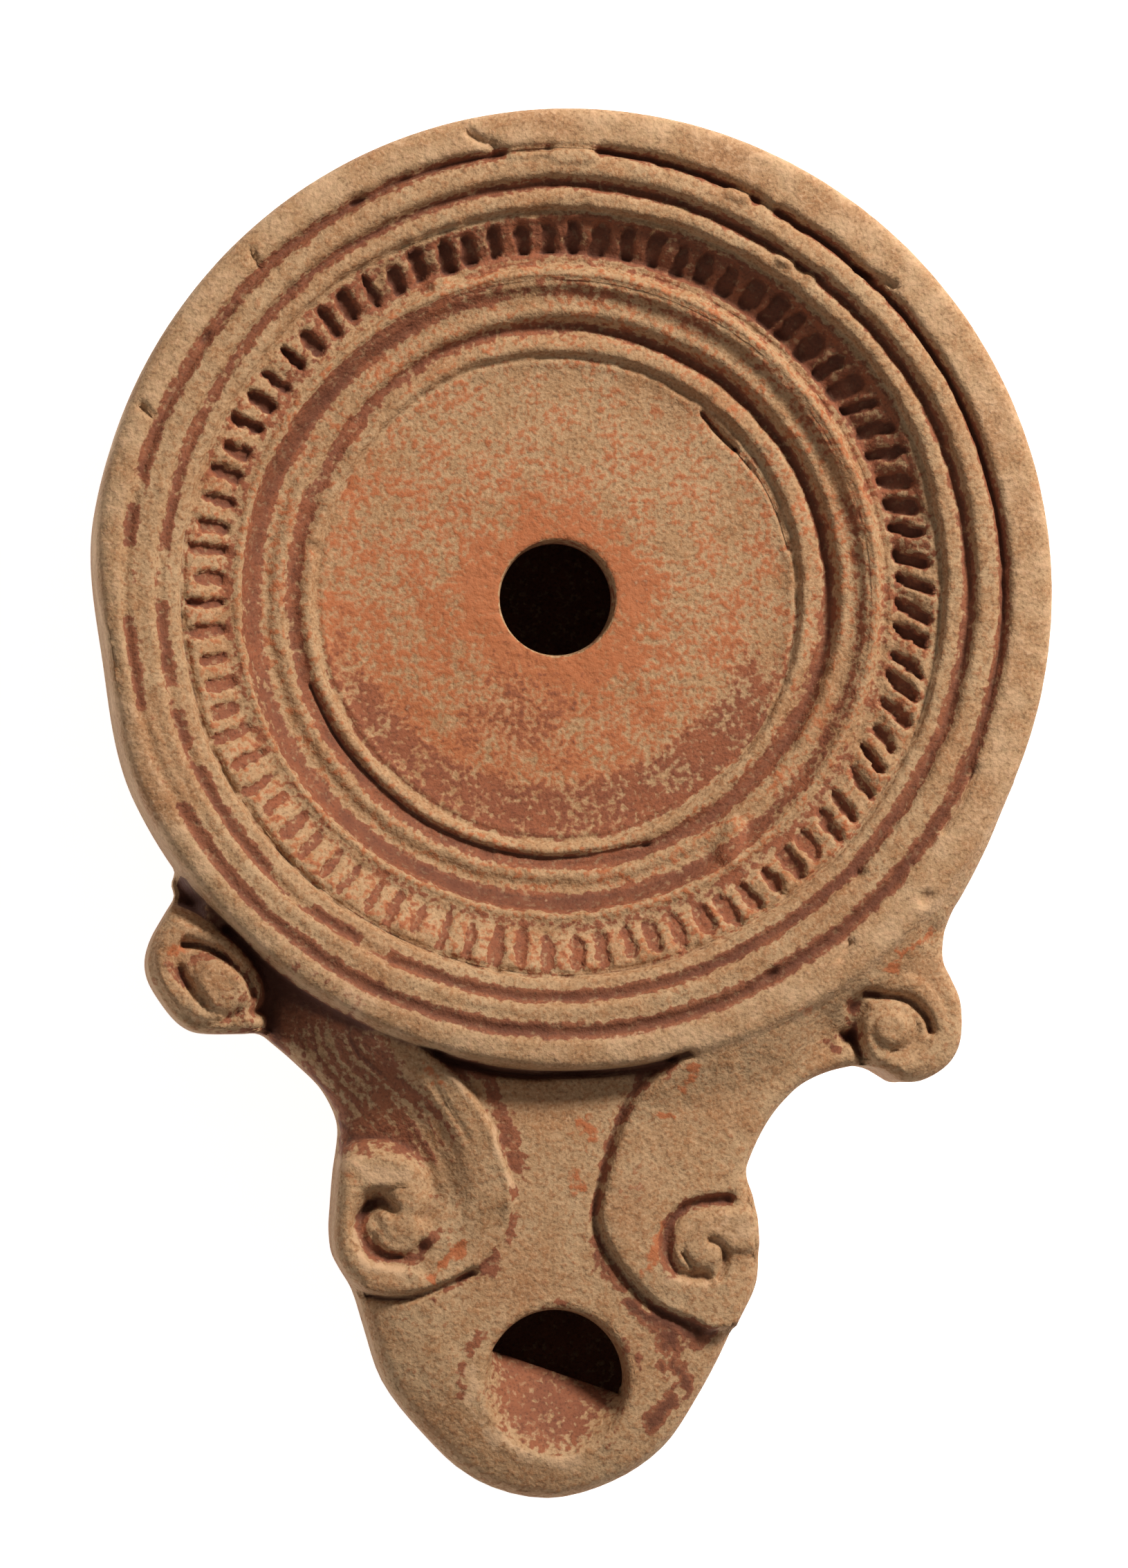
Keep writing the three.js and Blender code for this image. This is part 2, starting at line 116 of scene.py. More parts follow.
# Lamp body. The rings' centre is the origin, the nozzle points along -Y.
body = {
    "radius": 36.1, "seam": 16.5, "shift": (0.9, 0.4), "dentAngle": 188, "dentHalf": 18, "dentDepth": 0.8,
    # height of the top against the distance from the rings' centre, in to out
    "profile": [
        (0, 21), (14, 21), (17.2, 21.25), (17.9, 21.45), (18.15, 21.3), (18.4, 21.5), (18.7, 22),
        (18.95, 22.1), (19.3, 21.95), (19.75, 21.15), (20.15, 21.1), (20.5, 21.8), (20.8, 22.15),
        (21.2, 22.1), (21.7, 21.85), (22.5, 22.05), (23.1, 22.6), (23.5, 23.2), (23.75, 24), (24, 24.1),
        (24.25, 23.8), (24.6, 23.25), (25, 23.6), (27.9, 25.15), (28.25, 24.95), (28.45, 25.55),
        (28.65, 25.95), (29.2, 26), (29.55, 25.75), (29.85, 25.3), (30.1, 25.25), (30.35, 26.1),
        (30.6, 26.6), (31, 26.75), (31.8, 26.7), (32.25, 26.3), (32.5, 25.6), (32.7, 25.4), (32.85, 25.6),
        (33.1, 26.5), (33.4, 26.9), (33.8, 27), (34.7, 26.97), (35.35, 26.85), (35.75, 26.4), (35.95, 25.2),
        (36.03, 22.6), (36.1, 21.5), (37, 14),
    ],
    # how far the rings stray outward from true circles: at each radius, a row for every 30 degrees, clockwise
    # from the side away from the nozzle
    "stray": [
        (17, [0] * 12),
        (18.9, [-0.15, 0.1, 0.15, -0.25, -0.3, -0.15, 0.2, 0.1, 0, -0.1, -0.3, -0.1]),
        (19.9, [0.45, 0.6, 0.75, 0.55, 0.2, 0, 0, -0.2, 0, 0, 0.1, 0.4]),
        (20.9, [0.3, 0.4, 0.5, 0.45, 0.3, 0.1, 0, 0.15, 0.2, 0.1, 0, 0]),
        (24, [0.2, 0.1, -0.1, -0.2, -0.3, -0.15, 0.1, 0.2, 0.4, 0.3, 0.2, 0.25]),
        (25, [0.5, 0.3, 0.1, 0, 0, 0, -0.1, -0.1, -0.1, 0, 0, 0.2]),
        (28, [0.25, 0.35, 0.35, 0.15, 0, 0, 0.3, 0.35, 0.35, 0.2, 0, 0.1]),
        (29.7, [0.6, 0.5, 0.85, 0.5, -0.15, -0.35, 0.1, 0.1, 0.3, -0.1, -0.15, 0.3]),
        (32.4, [0.7, 0.2, 0.85, 0.55, 0, -0.2, 0, 0, 0, -0.1, -0.3, 0.1]),
        (34.6, [0] * 12),
    ],
    # each groove is worn full up to its level but for the share still open; this share and the share of slip
    # left in it are given in the same twelve directions
    "grooves": [
        {"at": 19.95, "width": 0.55, "level": 21.95,
         "open": [0.5, 0.6, 0.6, 0.6, 0.5, 0.4, 0.4, 0.4, 0.35, 0.3, 0.35, 0.4],
         "slip": [0.5, 0.5, 0.5, 0.6, 0.8, 0.85, 0.85, 0.85, 0.85, 0.7, 0.7, 0.6]},
        {"at": 24.7, "width": 0.4, "level": 23.95,
         "open": [0.9, 1, 1, 0.8, 0.5, 0.2, 0.1, 0.05, 0, 0.1, 0.3, 0.7],
         "slip": [0.3, 0.3, 0.3, 0.3, 0.4, 0.5, 0.5, 0.5, 0.5, 0.5, 0.4, 0.3]},
        {"at": 29.9, "width": 0.5, "level": 26.15,
         "open": [0.75, 0.85, 0.8, 0.6, 0.35, 0.25, 0.15, 0.15, 0.1, 0.15, 0.4, 0.65],
         "slip": [0.5, 0.5, 0.5, 0.65, 0.9, 1, 1, 0.95, 0.95, 0.8, 0.6, 0.5]},
        {"at": 32.6, "width": 0.6, "level": 26.8,
         "open": [0.8, 0.85, 0.85, 0.65, 0.4, 0.3, 0.2, 0.15, 0.1, 0.2, 0.4, 0.65],
         "slip": [0.5, 0.5, 0.5, 0.65, 0.9, 1, 1, 1, 0.8, 0.85, 0.7, 0.5]},
    ],
    "underProfile": [(0, 0.15), (15, 0.1), (19.4, 0), (20.4, 0), (21, 0.9), (26.8, 3.5), (31.6, 7.5),
                     (34.8, 11.6), (35.7, 14), (36.1, 16.5), (37, 21)],
    # tongues: how many, and in the same twelve directions their rise, how far the whole band is sunk, their
    # width as a share of their spacing, the depth of the gaps between them, and their lean in degrees a
    # millimetre; then how far the hollow inside them is filled, and the share of slip left in both, the
    # band's share raised on the key lamp's side as painted shade where the band lies in shadow
    "tongues": 84, "tongueInner": 25.05, "tongueMiddle": 26.5, "tongueOuter": 27.95,
    "tongueRise": [0.4, 0.4, 0.4, 0.45, 0.45, 0.35, 0.25, 0.2, 0.25, 0.35, 0.45, 0.45],
    "tongueSink": [0.95, 1.05, 0.95, 0.5, 0.1, 0, 0, 0, 0, 0.1, 0.35, 0.7],
    "tongueWidth": [0.42, 0.4, 0.42, 0.48, 0.48, 0.46, 0.5, 0.54, 0.56, 0.56, 0.5, 0.46],
    "tongueGap": [0.35, 0.3, 0.4, 0.65, 0.6, 0.35, 0.25, 0.18, 0.3, 0.5, 0.6, 0.5],
    "tongueSlant": [0, 0, 0.5, 1.1, 1.1, -0.3, 0, 0, 0, 0, -0.2, 0],
    # the band's slip, raised on the key lamp's side as painted shade where the band lies in shadow
    "bandSlipAndShade": [0.8, 0.85, 0.7, 0.4, 0.15, 0.2, 0.25, 0.2, 0.2, 0.25, 0.4, 0.6],
    "cavettoFill": [1, 1.1, 1.1, 1, 0.7, 0.3, 0.1, 0, 0, 0, 0.2, 0.7],
    "cavettoSlip": [0.42, 0.3, 0.3, 0.4, 0.6, 0.85, 1, 0.95, 0.75, 0.75, 1, 0.85],
    "holeRadius": 4.25,
    # worn and broken places: half width, rise, and points as (clock direction, radius)
    "flaws": [
        (0.7, 0.9, [(-1, 32.9), (3, 33)]), (0.5, 0.8, [(22.7, 32.6), (24.4, 32.7)]),
        (0.4, 0.6, [(27.2, 32.9), (28.2, 33)]), (0.25, -0.7, [(42, 32.8), (44.5, 33.4), (47, 33.9)]),
        (0.4, 0.45, [(33, 30), (34.4, 30.2)]), (0.3, 0.4, [(37.6, 30.2), (38.3, 30.3)]),
        (0.5, 0.3, [(40, 18.6), (47, 18.7)]), (0.2, -0.75, [(38, 17.8), (44, 17.5), (50, 17.6)]),
        (0.14, -0.45, [(50, 17.6), (58, 17.75), (66, 17.85), (78, 17.9)]),
        (0.2, -0.7, [(113, 33.4), (117.5, 33.5), (122, 33.4)]), (0.4, -0.6, [(129.7, 35.2), (130.4, 35.2)]),
        (0.3, -0.5, [(133.2, 30.4), (133.8, 30.4)]), (0.22, -0.6, [(140.5, 33.6), (143, 34.1)]),
        (0.35, -0.4, [(151, 32.2), (152, 32.2)]), (0.8, 0.7, [(143, 21.9), (147, 23)]),
        (0.22, -0.6, [(293.3, 34.2), (292.5, 33.2)]), (0.3, -0.3, [(304.5, 32.7), (305.5, 32.7)]),
        (0.2, -0.5, [(317, 34.2), (316.5, 33)]), (0.35, -0.4, [(331.5, 33), (332.5, 33)]),
        (0.3, -0.6, [(348, 35), (349, 34.3), (351, 33.7)]), (0.45, 0.5, [(353, 33), (357, 33)]),
        (0.5, 0.4, [(338, 25), (339, 25)]), (0.35, -0.4, [(280, 18.6), (281, 18.6)]),
        (0.6, 0.12, [(242, 32.6), (253, 32.6)]), (0.6, 0.12, [(267.5, 32.6), (274.5, 32.6)]),
        (0.5, 0.12, [(282, 32.6), (284, 32.6)]), (0.5, 0.1, [(206.5, 29.9), (209.5, 29.9)]),
        (0.5, 0.1, [(219.5, 29.9), (225.5, 29.9)]), (0.5, 0.1, [(245.3, 29.9), (246.7, 29.9)]),
        (0.5, 0.1, [(253.5, 29.9), (255.5, 29.9)]), (0.5, 0.1, [(269, 29.9), (275, 29.9)]),
        (0.18, -0.45, [(160, 19.7), (185, 19.6), (210, 19.6), (235, 19.7), (250, 19.8)]),
    ],
}

nozzle = {
    "top": 24, "axis": -0.75, "tipCentre": -55, "keel": 3, "keelStart": -30, "keelRise": 0.2,
    "edgeDrop": 1.0, "edgeWidth": 1.0, "gapFloor": 18, "sag": 1.3, "sagWidth": 5.5,
    # the ledge inside the wick hole: its edge passes through a point, square to a direction in degrees, and
    # the floor slopes up from it to the hole's rim at the tip
    "ledgePoint": (-5.5, -56.2), "ledgeTurn": 71, "ledgeHeight": 20.1, "ledgeReach": 1.0,
    "wickHole": (-0.3, -58.5), "wickRadius": 5.2,
    # plan of the nozzle with the knobs beside it
    "plan": [
        (-25, -14), (-28.8, -21.4), (-28.6, -22.4), (-29.3, -23.7), (-30.4, -25.7), (-30.8, -27.3),
        (-30.6, -28.7), (-29.7, -30.3), (-28.4, -31.9), (-27.3, -32.6), (-26.1, -32.8), (-23.5, -32.8),
        (-22.2, -32.8), (-20.8, -33.8), (-19, -35.4), (-17.5, -36.9), (-16.5, -38.7), (-16.2, -39.8),
        (-16.3, -41.2), (-16.6, -43.2), (-16.8, -45.8), (-16.9, -47.6), (-16.7, -49.2), (-16.1, -50.4),
        (-15.2, -51.9), (-14.3, -54.7), (-12.9, -58.8), (-9.8, -62.8), (-6.2, -66), (-0.9, -67.4),
        (4, -66.2), (7.8, -63.7), (10.4, -60), (12.4, -56.3), (13.4, -54.1), (14.7, -51.4), (14.9, -48.5),
        (14.6, -45.2), (14, -43.2), (14.2, -42.2), (15.7, -39.2), (17.2, -37.4), (18.3, -36.5),
        (19.8, -35.8), (21.2, -35.4), (22.7, -35.2), (23.9, -35.4), (24.8, -35.9), (25.7, -36.4),
        (26.8, -36.4), (28.2, -35.8), (29.3, -34.9), (30, -33.6), (30.2, -31.8), (30, -30), (29.4, -28.6),
        (28.8, -27.3), (28.8, -25.7), (29.3, -23.9), (30.2, -22.3), (31.3, -20.2), (32.4, -17.8),
        (33.3, -15.2), (34, -11), (30, -6),
    ],
    # plan of the nozzle alone, which its field and its rounded underside follow
    "outline": [
        (-18, -27), (-25.8, -22), (-25, -28), (-22.8, -32.6), (-20, -34.9), (-17.5, -37.4), (-16.5, -40),
        (-16.8, -43.2), (-17.1, -47.4), (-16.5, -50.4), (-15.1, -52.9), (-14.3, -55.8), (-12.9, -59.3),
        (-10.1, -62.8), (-6.3, -65.9), (-0.9, -67.5), (4, -66.3), (7.8, -63.7), (10.5, -60), (12.1, -56.3),
        (12.7, -54.8), (14.3, -51.7), (14.7, -48.8), (14.4, -45.5), (13.5, -43), (14.6, -39.9), (17.1, -37),
        (20.2, -35.2), (23.4, -33.8), (26.4, -29), (26.4, -22), (18, -27),
    ],
}

# The two volutes. Each has a rib against the field, a closing line beyond the nozzle's side, a height from
# the rib to the side, dips as (depth, size, place), rolls as (radius, top, points), a knob with rolls of its
# own, and cuts as (half width, depth, points).
volutes = [
    {
        "rib": [(-12.5, -32), (-9.7, -34.5), (-7.2, -36.8), (-5.5, -39.4), (-4.4, -42.2), (-3.8, -44.4),
                (-4, -46.6), (-5.3, -48.9), (-7.5, -50.8), (-10.6, -52), (-13, -52.1), (-15.2, -51.4),
                (-17, -49.8)],
        "side": [(-20, -50), (-20, -40), (-26, -34), (-25, -25), (-17, -29)],
        "across": [(0, 24.8), (0.06, 24.95), (0.2, 24.75), (0.3, 24.1), (0.5, 23.1), (0.75, 22), (1, 21)],
        "bottom": (-44.5, -48, 24.3), "shoulderBlend": 0, "crest": 0.22, "streak": 0.12,
        "dips": [(1.6, 3.2, (-20.8, -30.6))],
        "knob": [(-29.6, -23.3), (-27, -24.05), (-26, -24.7), (-25, -25.9), (-23.6, -27.7), (-22.8, -28.9),
                 (-22.7, -30.3), (-22.9, -31.1), (-22.2, -31.6), (-22.4, -32.6), (-24, -33.6), (-28.5, -33.6),
                 (-31.5, -31), (-32.2, -27.3), (-31.4, -25)],
        "knobRolls": [
            (2.7, 25.8, [(-25.6, -29.2), (-25.2, -29.5)]),
            (0.95, 25.4, [(-28.4, -25), (-29.6, -26.8), (-29.4, -28.5), (-28.3, -30.1), (-27, -31.3),
                          (-25.4, -31.9)]),
            (0.8, 25.3, [(-28.4, -25), (-26.6, -25.5), (-25, -26.4), (-23.8, -27.8)]),
        ],
        "rolls": [(2.1, 24.5, [(-17, -45.8), (-15.6, -43.4), (-13.2, -42.9), (-11.7, -43.6), (-11.3, -45)]),
                  (2.1, 24.5, [(-12.2, -46.9), (-12, -46.8)]),
                  (1.3, 24.6, [(-16.3, -44), (-16.3, -48.6), (-14, -50.6), (-11, -51)])],
        "cuts": [
            (0.28, 0.9, [(-28.1, -26.2), (-27.2, -26.25), (-26.4, -26.4), (-25.6, -26.8), (-24.7, -27.4),
                         (-23.9, -28.1), (-23.3, -28.9), (-22.9, -29.9)]),
            (0.34, 0.6, [(-28.3, -28), (-28.2, -28.6), (-27.7, -29.2), (-27.1, -29.7), (-26.6, -30.4)]),
            (0.22, 0.45, [(-28, -31.2), (-27.2, -31.8), (-26, -32), (-24.9, -31.7), (-24, -31)]),
            (0.17, 0.35, [(-13.9, -44.7), (-13.4, -44.4), (-12.6, -44.3), (-11.9, -44.1)]),
            (0.5, 0.7, [(-12.6, -45.8), (-13.3, -45.3), (-14.2, -45.6), (-14.8, -46.3), (-14.9, -47.3),
                        (-14.4, -48.4), (-13.4, -49.2), (-12.2, -49.5), (-11, -49.2), (-10.3, -48.5)]),
            (0.2, 0.4, [(-14, -47.6), (-13.7, -48.4), (-12.9, -49), (-12, -49.2)]),
            (0.6, 0.25, [(-10.6, -43.6), (-10.1, -45), (-9.9, -46.4)]),
            (0.25, 0.25, [(-7.5, -48.4), (-8.6, -49.6), (-9.7, -50.6)]),
            (0.2, 0.2, [(-9.7, -36.4), (-8.8, -37.8), (-8, -39), (-7, -40.6)]),
            (0.3, 0.9, [(-6.6, -50.4), (-8, -51.1), (-9.5, -51.7), (-11.5, -52.3), (-13, -52.3),
                        (-14.6, -52), (-15.7, -51.2)]),
        ],
    },
    {
        "rib": [(11.5, -31.5), (7.9, -35), (6, -36.7), (4.9, -38.2), (4.2, -39.6), (3.7, -41), (3.2, -42.8),
                (2.8, -44.4), (2.6, -46), (2.8, -47.5), (3.3, -48.7), (4.2, -50.1), (5.3, -51.4),
                (6.5, -52.6), (7.6, -53.4), (9, -54), (10.4, -54.6), (12.6, -54.5)],
        "side": [(16, -55), (18, -50), (18, -40), (24, -37), (30, -32), (34, -25), (36, -18), (35.5, -13),
                 (32.6, -13), (31.3, -15.6), (29.2, -18.6), (26.6, -22), (23.5, -24.6), (18, -28.9)],
        "across": [(0, 24.7), (0.1, 24.9), (0.5, 24.65), (1, 24.2)],
        "bottom": (-50, -54, 24.6), "shoulderBlend": 1, "crest": 0.05, "streak": 0,
        "dips": [(0.9, 2.4, (20.3, -32.6)), (0.5, 0.9, (27.8, -25.4))],
        "knob": [(28.4, -24), (25.5, -26.2), (23, -29), (22.2, -30.8), (22.2, -33), (22.8, -35),
                 (23.6, -36.3), (26, -37.3), (29, -36), (31, -33), (31, -30), (29.8, -27.6)],
        "knobRolls": [
            (2, 25.5, [(24.6, -32.3), (24.7, -32.4)]),
            (1, 25.2, [(24.2, -28.6), (26.4, -29.1), (28, -30.8), (28.3, -32.8), (27.2, -34.6),
                       (25.2, -35.3)]),
        ],
        "rolls": [(2.6, 24.9, [(14, -47.4), (11.4, -47.6), (10.6, -48.6)])],
        "cuts": [
            (0.32, 0.95, [(8.4, -34.7), (6, -36.8), (4.9, -38.2), (4.2, -39.6), (3.7, -41), (3.2, -42.8),
                          (2.8, -44.4), (2.6, -46), (2.8, -47.5), (3.3, -48.7), (4.2, -50.1), (5.3, -51.4),
                          (6.5, -52.6), (7.6, -53.4), (9, -54), (10.4, -54.6)]),
            (0.45, 0.75, [(12.5, -45.1), (11.4, -45.2), (10.2, -45.4), (9.2, -45.8), (8.4, -46.5),
                          (7.9, -47.5), (7.8, -48.6), (8.1, -49.6), (8.7, -50.4), (9.6, -50.7),
                          (10.8, -50.8)]),
            (0.18, 0.5, [(9, -49.1), (9.4, -49.7), (9.9, -50.2)]),
            (0.32, 0.6, [(11.1, -48.1), (11.8, -48.4), (12.2, -49.2), (12.1, -50.1), (11.8, -50.9)]),
            (0.55, 0.5, [(21.6, -30.6), (22.3, -30), (23.4, -29.8)]),
            (0.32, 0.85, [(22.8, -29.7), (24, -29.9), (25.2, -30.05), (26.2, -30.4), (27, -31.1),
                         (27.5, -31.8), (27.7, -32.5)]),
            (0.7, 0.6, [(22.3, -30.7), (21.9, -31.8), (21.9, -32.8)]),
            (0.36, 1.2, [(22, -32.8), (22.3, -33.7), (22.6, -34.4), (23.2, -35.2)]),
            (0.18, 0.4, [(26.2, -31), (26.6, -31.8), (26.6, -32.7), (26.2, -33.4), (25.5, -33.9),
                         (24.7, -34.1)]),
            (0.42, 0.8, [(21.2, -32.8), (21.4, -33.1)]),
        ],
    },
]

# The hand-finished surface: its unevenness and its pits as (height, size), and the height nothing passes
surface = {"uneven": (0.07, 1.5), "pitted": (0.045, 0.5), "highest": 26.99}

voluteForm = {"knobTop": 24.95, "knobDrop": 0.9, "knobEdge": 0.9, "shoulderTop": 26.5, "shoulderReach": 5.5}

# The dark line under the shoulder's edge, as (half width, depth, points)
stepCut = (0.24, 1.4, [(-9.4, -34.2), (-8, -34.8), (-6, -35.35), (-4, -35.7), (-2, -35.85), (0, -35.8),
                       (3, -35.6), (6, -35.15), (8, -34.65), (9.4, -34.2)])

inside = {
    "ceiling": [(0, 18.3), (21, 18.7), (24.8, 20.6), (28.4, 22.8), (31.4, 23.3), (33.1, 21.4), (33.4, 17),
                (36, 14)],
    "floor": [(0, 3.2), (18.5, 3.2), (25.4, 6), (31, 11.3), (33.3, 16.5), (36, 22)],
    "radius": 33.3, "boreScale": 0.78, "boreTop": 21, "boreWall": 3,
}

# Point spacing: rings of points on the body, an even field on the nozzle, closer where the relief is fine
spacing = {
    "rings": [(4.9, 17.2, 0.45, 0.45), (17.2, 21.9, 0.21, 0.29), (21.9, 24.5, 0.25, 0.31),
              (24.5, 28.4, 0.26, 0.22), (28.4, 33.2, 0.21, 0.31), (33.2, 36.7, 0.27, 0.34)],
    "underRings": [(1, 18.2, 1.4, 1.6), (18.2, 21.8, 0.45, 0.9), (21.8, 36.4, 1, 1.1)],
    "nozzle": 0.26, "edge": 0.36, "under": 1.1, "inside": 1.6,
}


def smoothStep(low, high, value):
    t = np.clip((value - low) / (high - low), 0, 1)
    return t * t * (3 - 2 * t)


def softMax(a, b, blend):
    # the larger of two heights, with the crease between them filled over the blend distance
    share = np.clip(0.5 + (a - b) / (2 * blend), 0, 1)
    return b + (a - b) * share + blend * share * (1 - share)


def softMin(a, b, blend):
    return -softMax(-a, -b, blend)


def noise(x, y, size, seed):
    # random heights from -1 to 1 on a square lattice, eased from one lattice point to the next
    table = np.random.default_rng(seed).uniform(-1, 1, (256, 256))
    u, v = x / size, y / size
    i, j = np.floor(u).astype(int), np.floor(v).astype(int)
    s, t = smoothStep(0, 1, u - i), smoothStep(0, 1, v - j)
    i0, j0, i1, j1 = i % 256, j % 256, (i + 1) % 256, (j + 1) % 256
    near = table[i0, j0] * (1 - s) + table[i1, j0] * s
    far = table[i0, j1] * (1 - s) + table[i1, j1] * s
    return near * (1 - t) + far * t


def layeredNoise(x, y, size, seed, layers=3):
    # noise at one size, then at half the size and half the strength, and so on
    total = sum(noise(x + 7 * k, y - 5 * k, size / 2 ** k, seed + k) / 2 ** k for k in range(layers))
    return total / (2 - 2 / 2 ** layers)


def smoothProfile(points, value):
    # height along a profile, with slopes that never overshoot its points
    at, height = np.array(points, float).T
    step = np.diff(at)
    slope = np.diff(height) / step
    product = slope[:-1] * slope[1:]
    inner = np.where(product > 0, 2 * product / (slope[:-1] + slope[1:] + 1e-12), 0)
    tangent = np.concatenate([slope[:1], inner, slope[-1:]])
    k = np.clip(np.searchsorted(at, value, side="right") - 1, 0, len(step) - 1)
    t = np.clip((value - at[k]) / step[k], 0, 1)
    return (height[k] * (1 + 2 * t) * (1 - t) ** 2 + tangent[k] * step[k] * t * (1 - t) ** 2
            + height[k + 1] * t * t * (3 - 2 * t) + tangent[k + 1] * step[k] * t * t * (t - 1))


def curveThrough(points, steps=12):
    # a centripetal Catmull-Rom curve: an even number of steps between each pair of points
    knots = np.array(points, float)
    knots = np.vstack([2 * knots[0] - knots[1], knots, 2 * knots[-1] - knots[-2]])
    p0, p1, p2, p3 = knots[:-3], knots[1:-2], knots[2:-1], knots[3:]
    d0, d1, d2 = (np.linalg.norm(b - a, axis=1, keepdims=True) ** 0.5
                  for a, b in ((p0, p1), (p1, p2), (p2, p3)))
    m1 = (p2 - p1) + d1 * ((p1 - p0) / d0 - (p2 - p0) / (d0 + d1))
    m2 = (p2 - p1) + d1 * ((p3 - p2) / d2 - (p3 - p1) / (d1 + d2))
    t = (np.arange(steps) / steps)[None, :, None]
    along = ((2 * t ** 3 - 3 * t ** 2 + 1) * p1[:, None] + (t ** 3 - 2 * t ** 2 + t) * m1[:, None]
             + (3 * t ** 2 - 2 * t ** 3) * p2[:, None] + (t ** 3 - t ** 2) * m2[:, None])
    return np.vstack([along.reshape(-1, 2), knots[-2]])


def nearCurve(curve, x, y):
    # distance to a line of points, and the share of its length at the nearest place
    start, leg = curve[:-1], np.diff(curve, axis=0)
    length = np.linalg.norm(leg, axis=1)
    done = np.concatenate([[0], np.cumsum(length)])
    distance, share = np.empty(len(x)), np.empty(len(x))
    for part in np.array_split(np.arange(len(x)), len(x) // 6000 + 1):
        px, py = x[part, None] - start[:, 0], y[part, None] - start[:, 1]
        t = np.clip((px * leg[:, 0] + py * leg[:, 1]) / length ** 2, 0, 1)
        gap = (px - t * leg[:, 0]) ** 2 + (py - t * leg[:, 1]) ** 2
        best = np.argmin(gap, axis=1)
        row = np.arange(len(part))
        distance[part] = np.sqrt(gap[row, best])
        share[part] = (done[best] + t[row, best] * length[best]) / done[-1]
    return distance, share


def depthInside(outline, x, y):
    # distance to a closed outline, positive inside it and negative outside
    closed = np.vstack([outline, outline[:1]])
    distance = nearCurve(closed, x, y)[0]
    crossings = np.zeros(len(x), int)
    for part in np.array_split(np.arange(len(x)), len(x) // 6000 + 1):
        y0, y1 = closed[:-1, 1], closed[1:, 1]
        px, py = x[part, None], y[part, None]
        spans = (y0 > py) != (y1 > py)
        rise = np.where(y1 == y0, 1e-12, y1 - y0)
        crossing = closed[:-1, 0] + (py - y0) / rise * np.diff(closed[:, 0])
        crossings[part] = (spans & (px < crossing)).sum(axis=1)
    return np.where(crossings % 2 == 1, distance, -distance)


nozzleOutline = curveThrough(nozzle["outline"], 8)
planOutline = curveThrough(nozzle["plan"], 4)


def clockOf(x, y):
    # direction from the rings' centre in degrees, clockwise from the side away from the nozzle
    return (90 - np.degrees(np.arctan2(y, x))) % 360


def byClock(clock, row):
    # a value given for every 30 degrees, eased between them
    return np.interp(clock, np.arange(0, 361, 30), [*row, row[0]])


def bodyDepth(x, y):
    # distance inside the body's round edge, with its flattened stretch
    turn = np.abs((np.degrees(np.arctan2(y, x)) - body["dentAngle"] + 540) % 360 - 180)
    press = body["dentDepth"] * (1 - smoothStep(0, body["dentHalf"], turn))
    return body["radius"] - press - np.hypot(x - body["shift"][0], y - body["shift"][1])


def lampDepth(x, y):
    # distance inside the whole plan of the lamp: the deeper of its body and its nozzle with the knobs
    depth = bodyDepth(x, y)
    near = np.flatnonzero(y < -8)
    depth[near] = softMax(depth[near], depthInside(planOutline, x[near], y[near]), 0.3)
    return depth


def knobDepth(volute, x, y):
    # distance inside a knob's own plan
    return depthInside(curveThrough(volute["knob"] + volute["knob"][:1], 5)[:-1], x, y)


def tongueGaps(along, clock):
    # oval gaps side by side round their band: 1 in a gap, 0 on a tongue; each has its own place, width and
    # length. Also each gap's own depth, and the number of the tongue
    count = body["tongues"]
    rng = np.random.default_rng(5)
    pitch = 360 / count
    turned = (clock - byClock(clock, body["tongueSlant"]) * (along - body["tongueMiddle"])
              + 0.4 * noise(along, clock / 3, 0.5, 41))
    k = np.floor(turned / pitch).astype(int) % count
    middle = (np.arange(count) + 0.5) * pitch
    across = (turned / pitch) % 1 - 0.5 + rng.uniform(-0.09, 0.09, count)[k]
    half = (0.5 * (1 - byClock(middle, body["tongueWidth"])) * (1 + rng.uniform(-0.3, 0.25, count)))[k]
    inner = body["tongueInner"] + rng.uniform(-0.1, 0.4, count)[k]
    outer = body["tongueOuter"] + rng.uniform(-0.5, 0.05, count)[k]
    lengthwise = (along - (inner + outer) / 2) / ((outer - inner) / 2)
    share = smoothStep(1.35, 0.6, (across / half) ** 2 + lengthwise ** 4)
    return share, rng.uniform(0.6, 1.15, count)[k], k


def tongueRelief(along, clock):
    # raised tongues with gaps between them on a sunken band
    gap, depth, k = tongueGaps(along, clock)
    rise = (byClock(clock, body["tongueRise"])
            * (1 + np.random.default_rng(6).uniform(-0.4, 0.1, body["tongues"])[k]))
    inner, outer = body["tongueInner"], body["tongueOuter"]
    band = smoothStep(inner - 0.1, inner + 0.35, along) * smoothStep(outer + 0.1, outer - 0.25, along)
    taper = np.interp(along, [inner, outer], [0.6, 1])
    return (rise * (1 - gap) * taper - depth * byClock(clock, body["tongueGap"]) * gap * taper
            - byClock(clock, body["tongueSink"])) * band


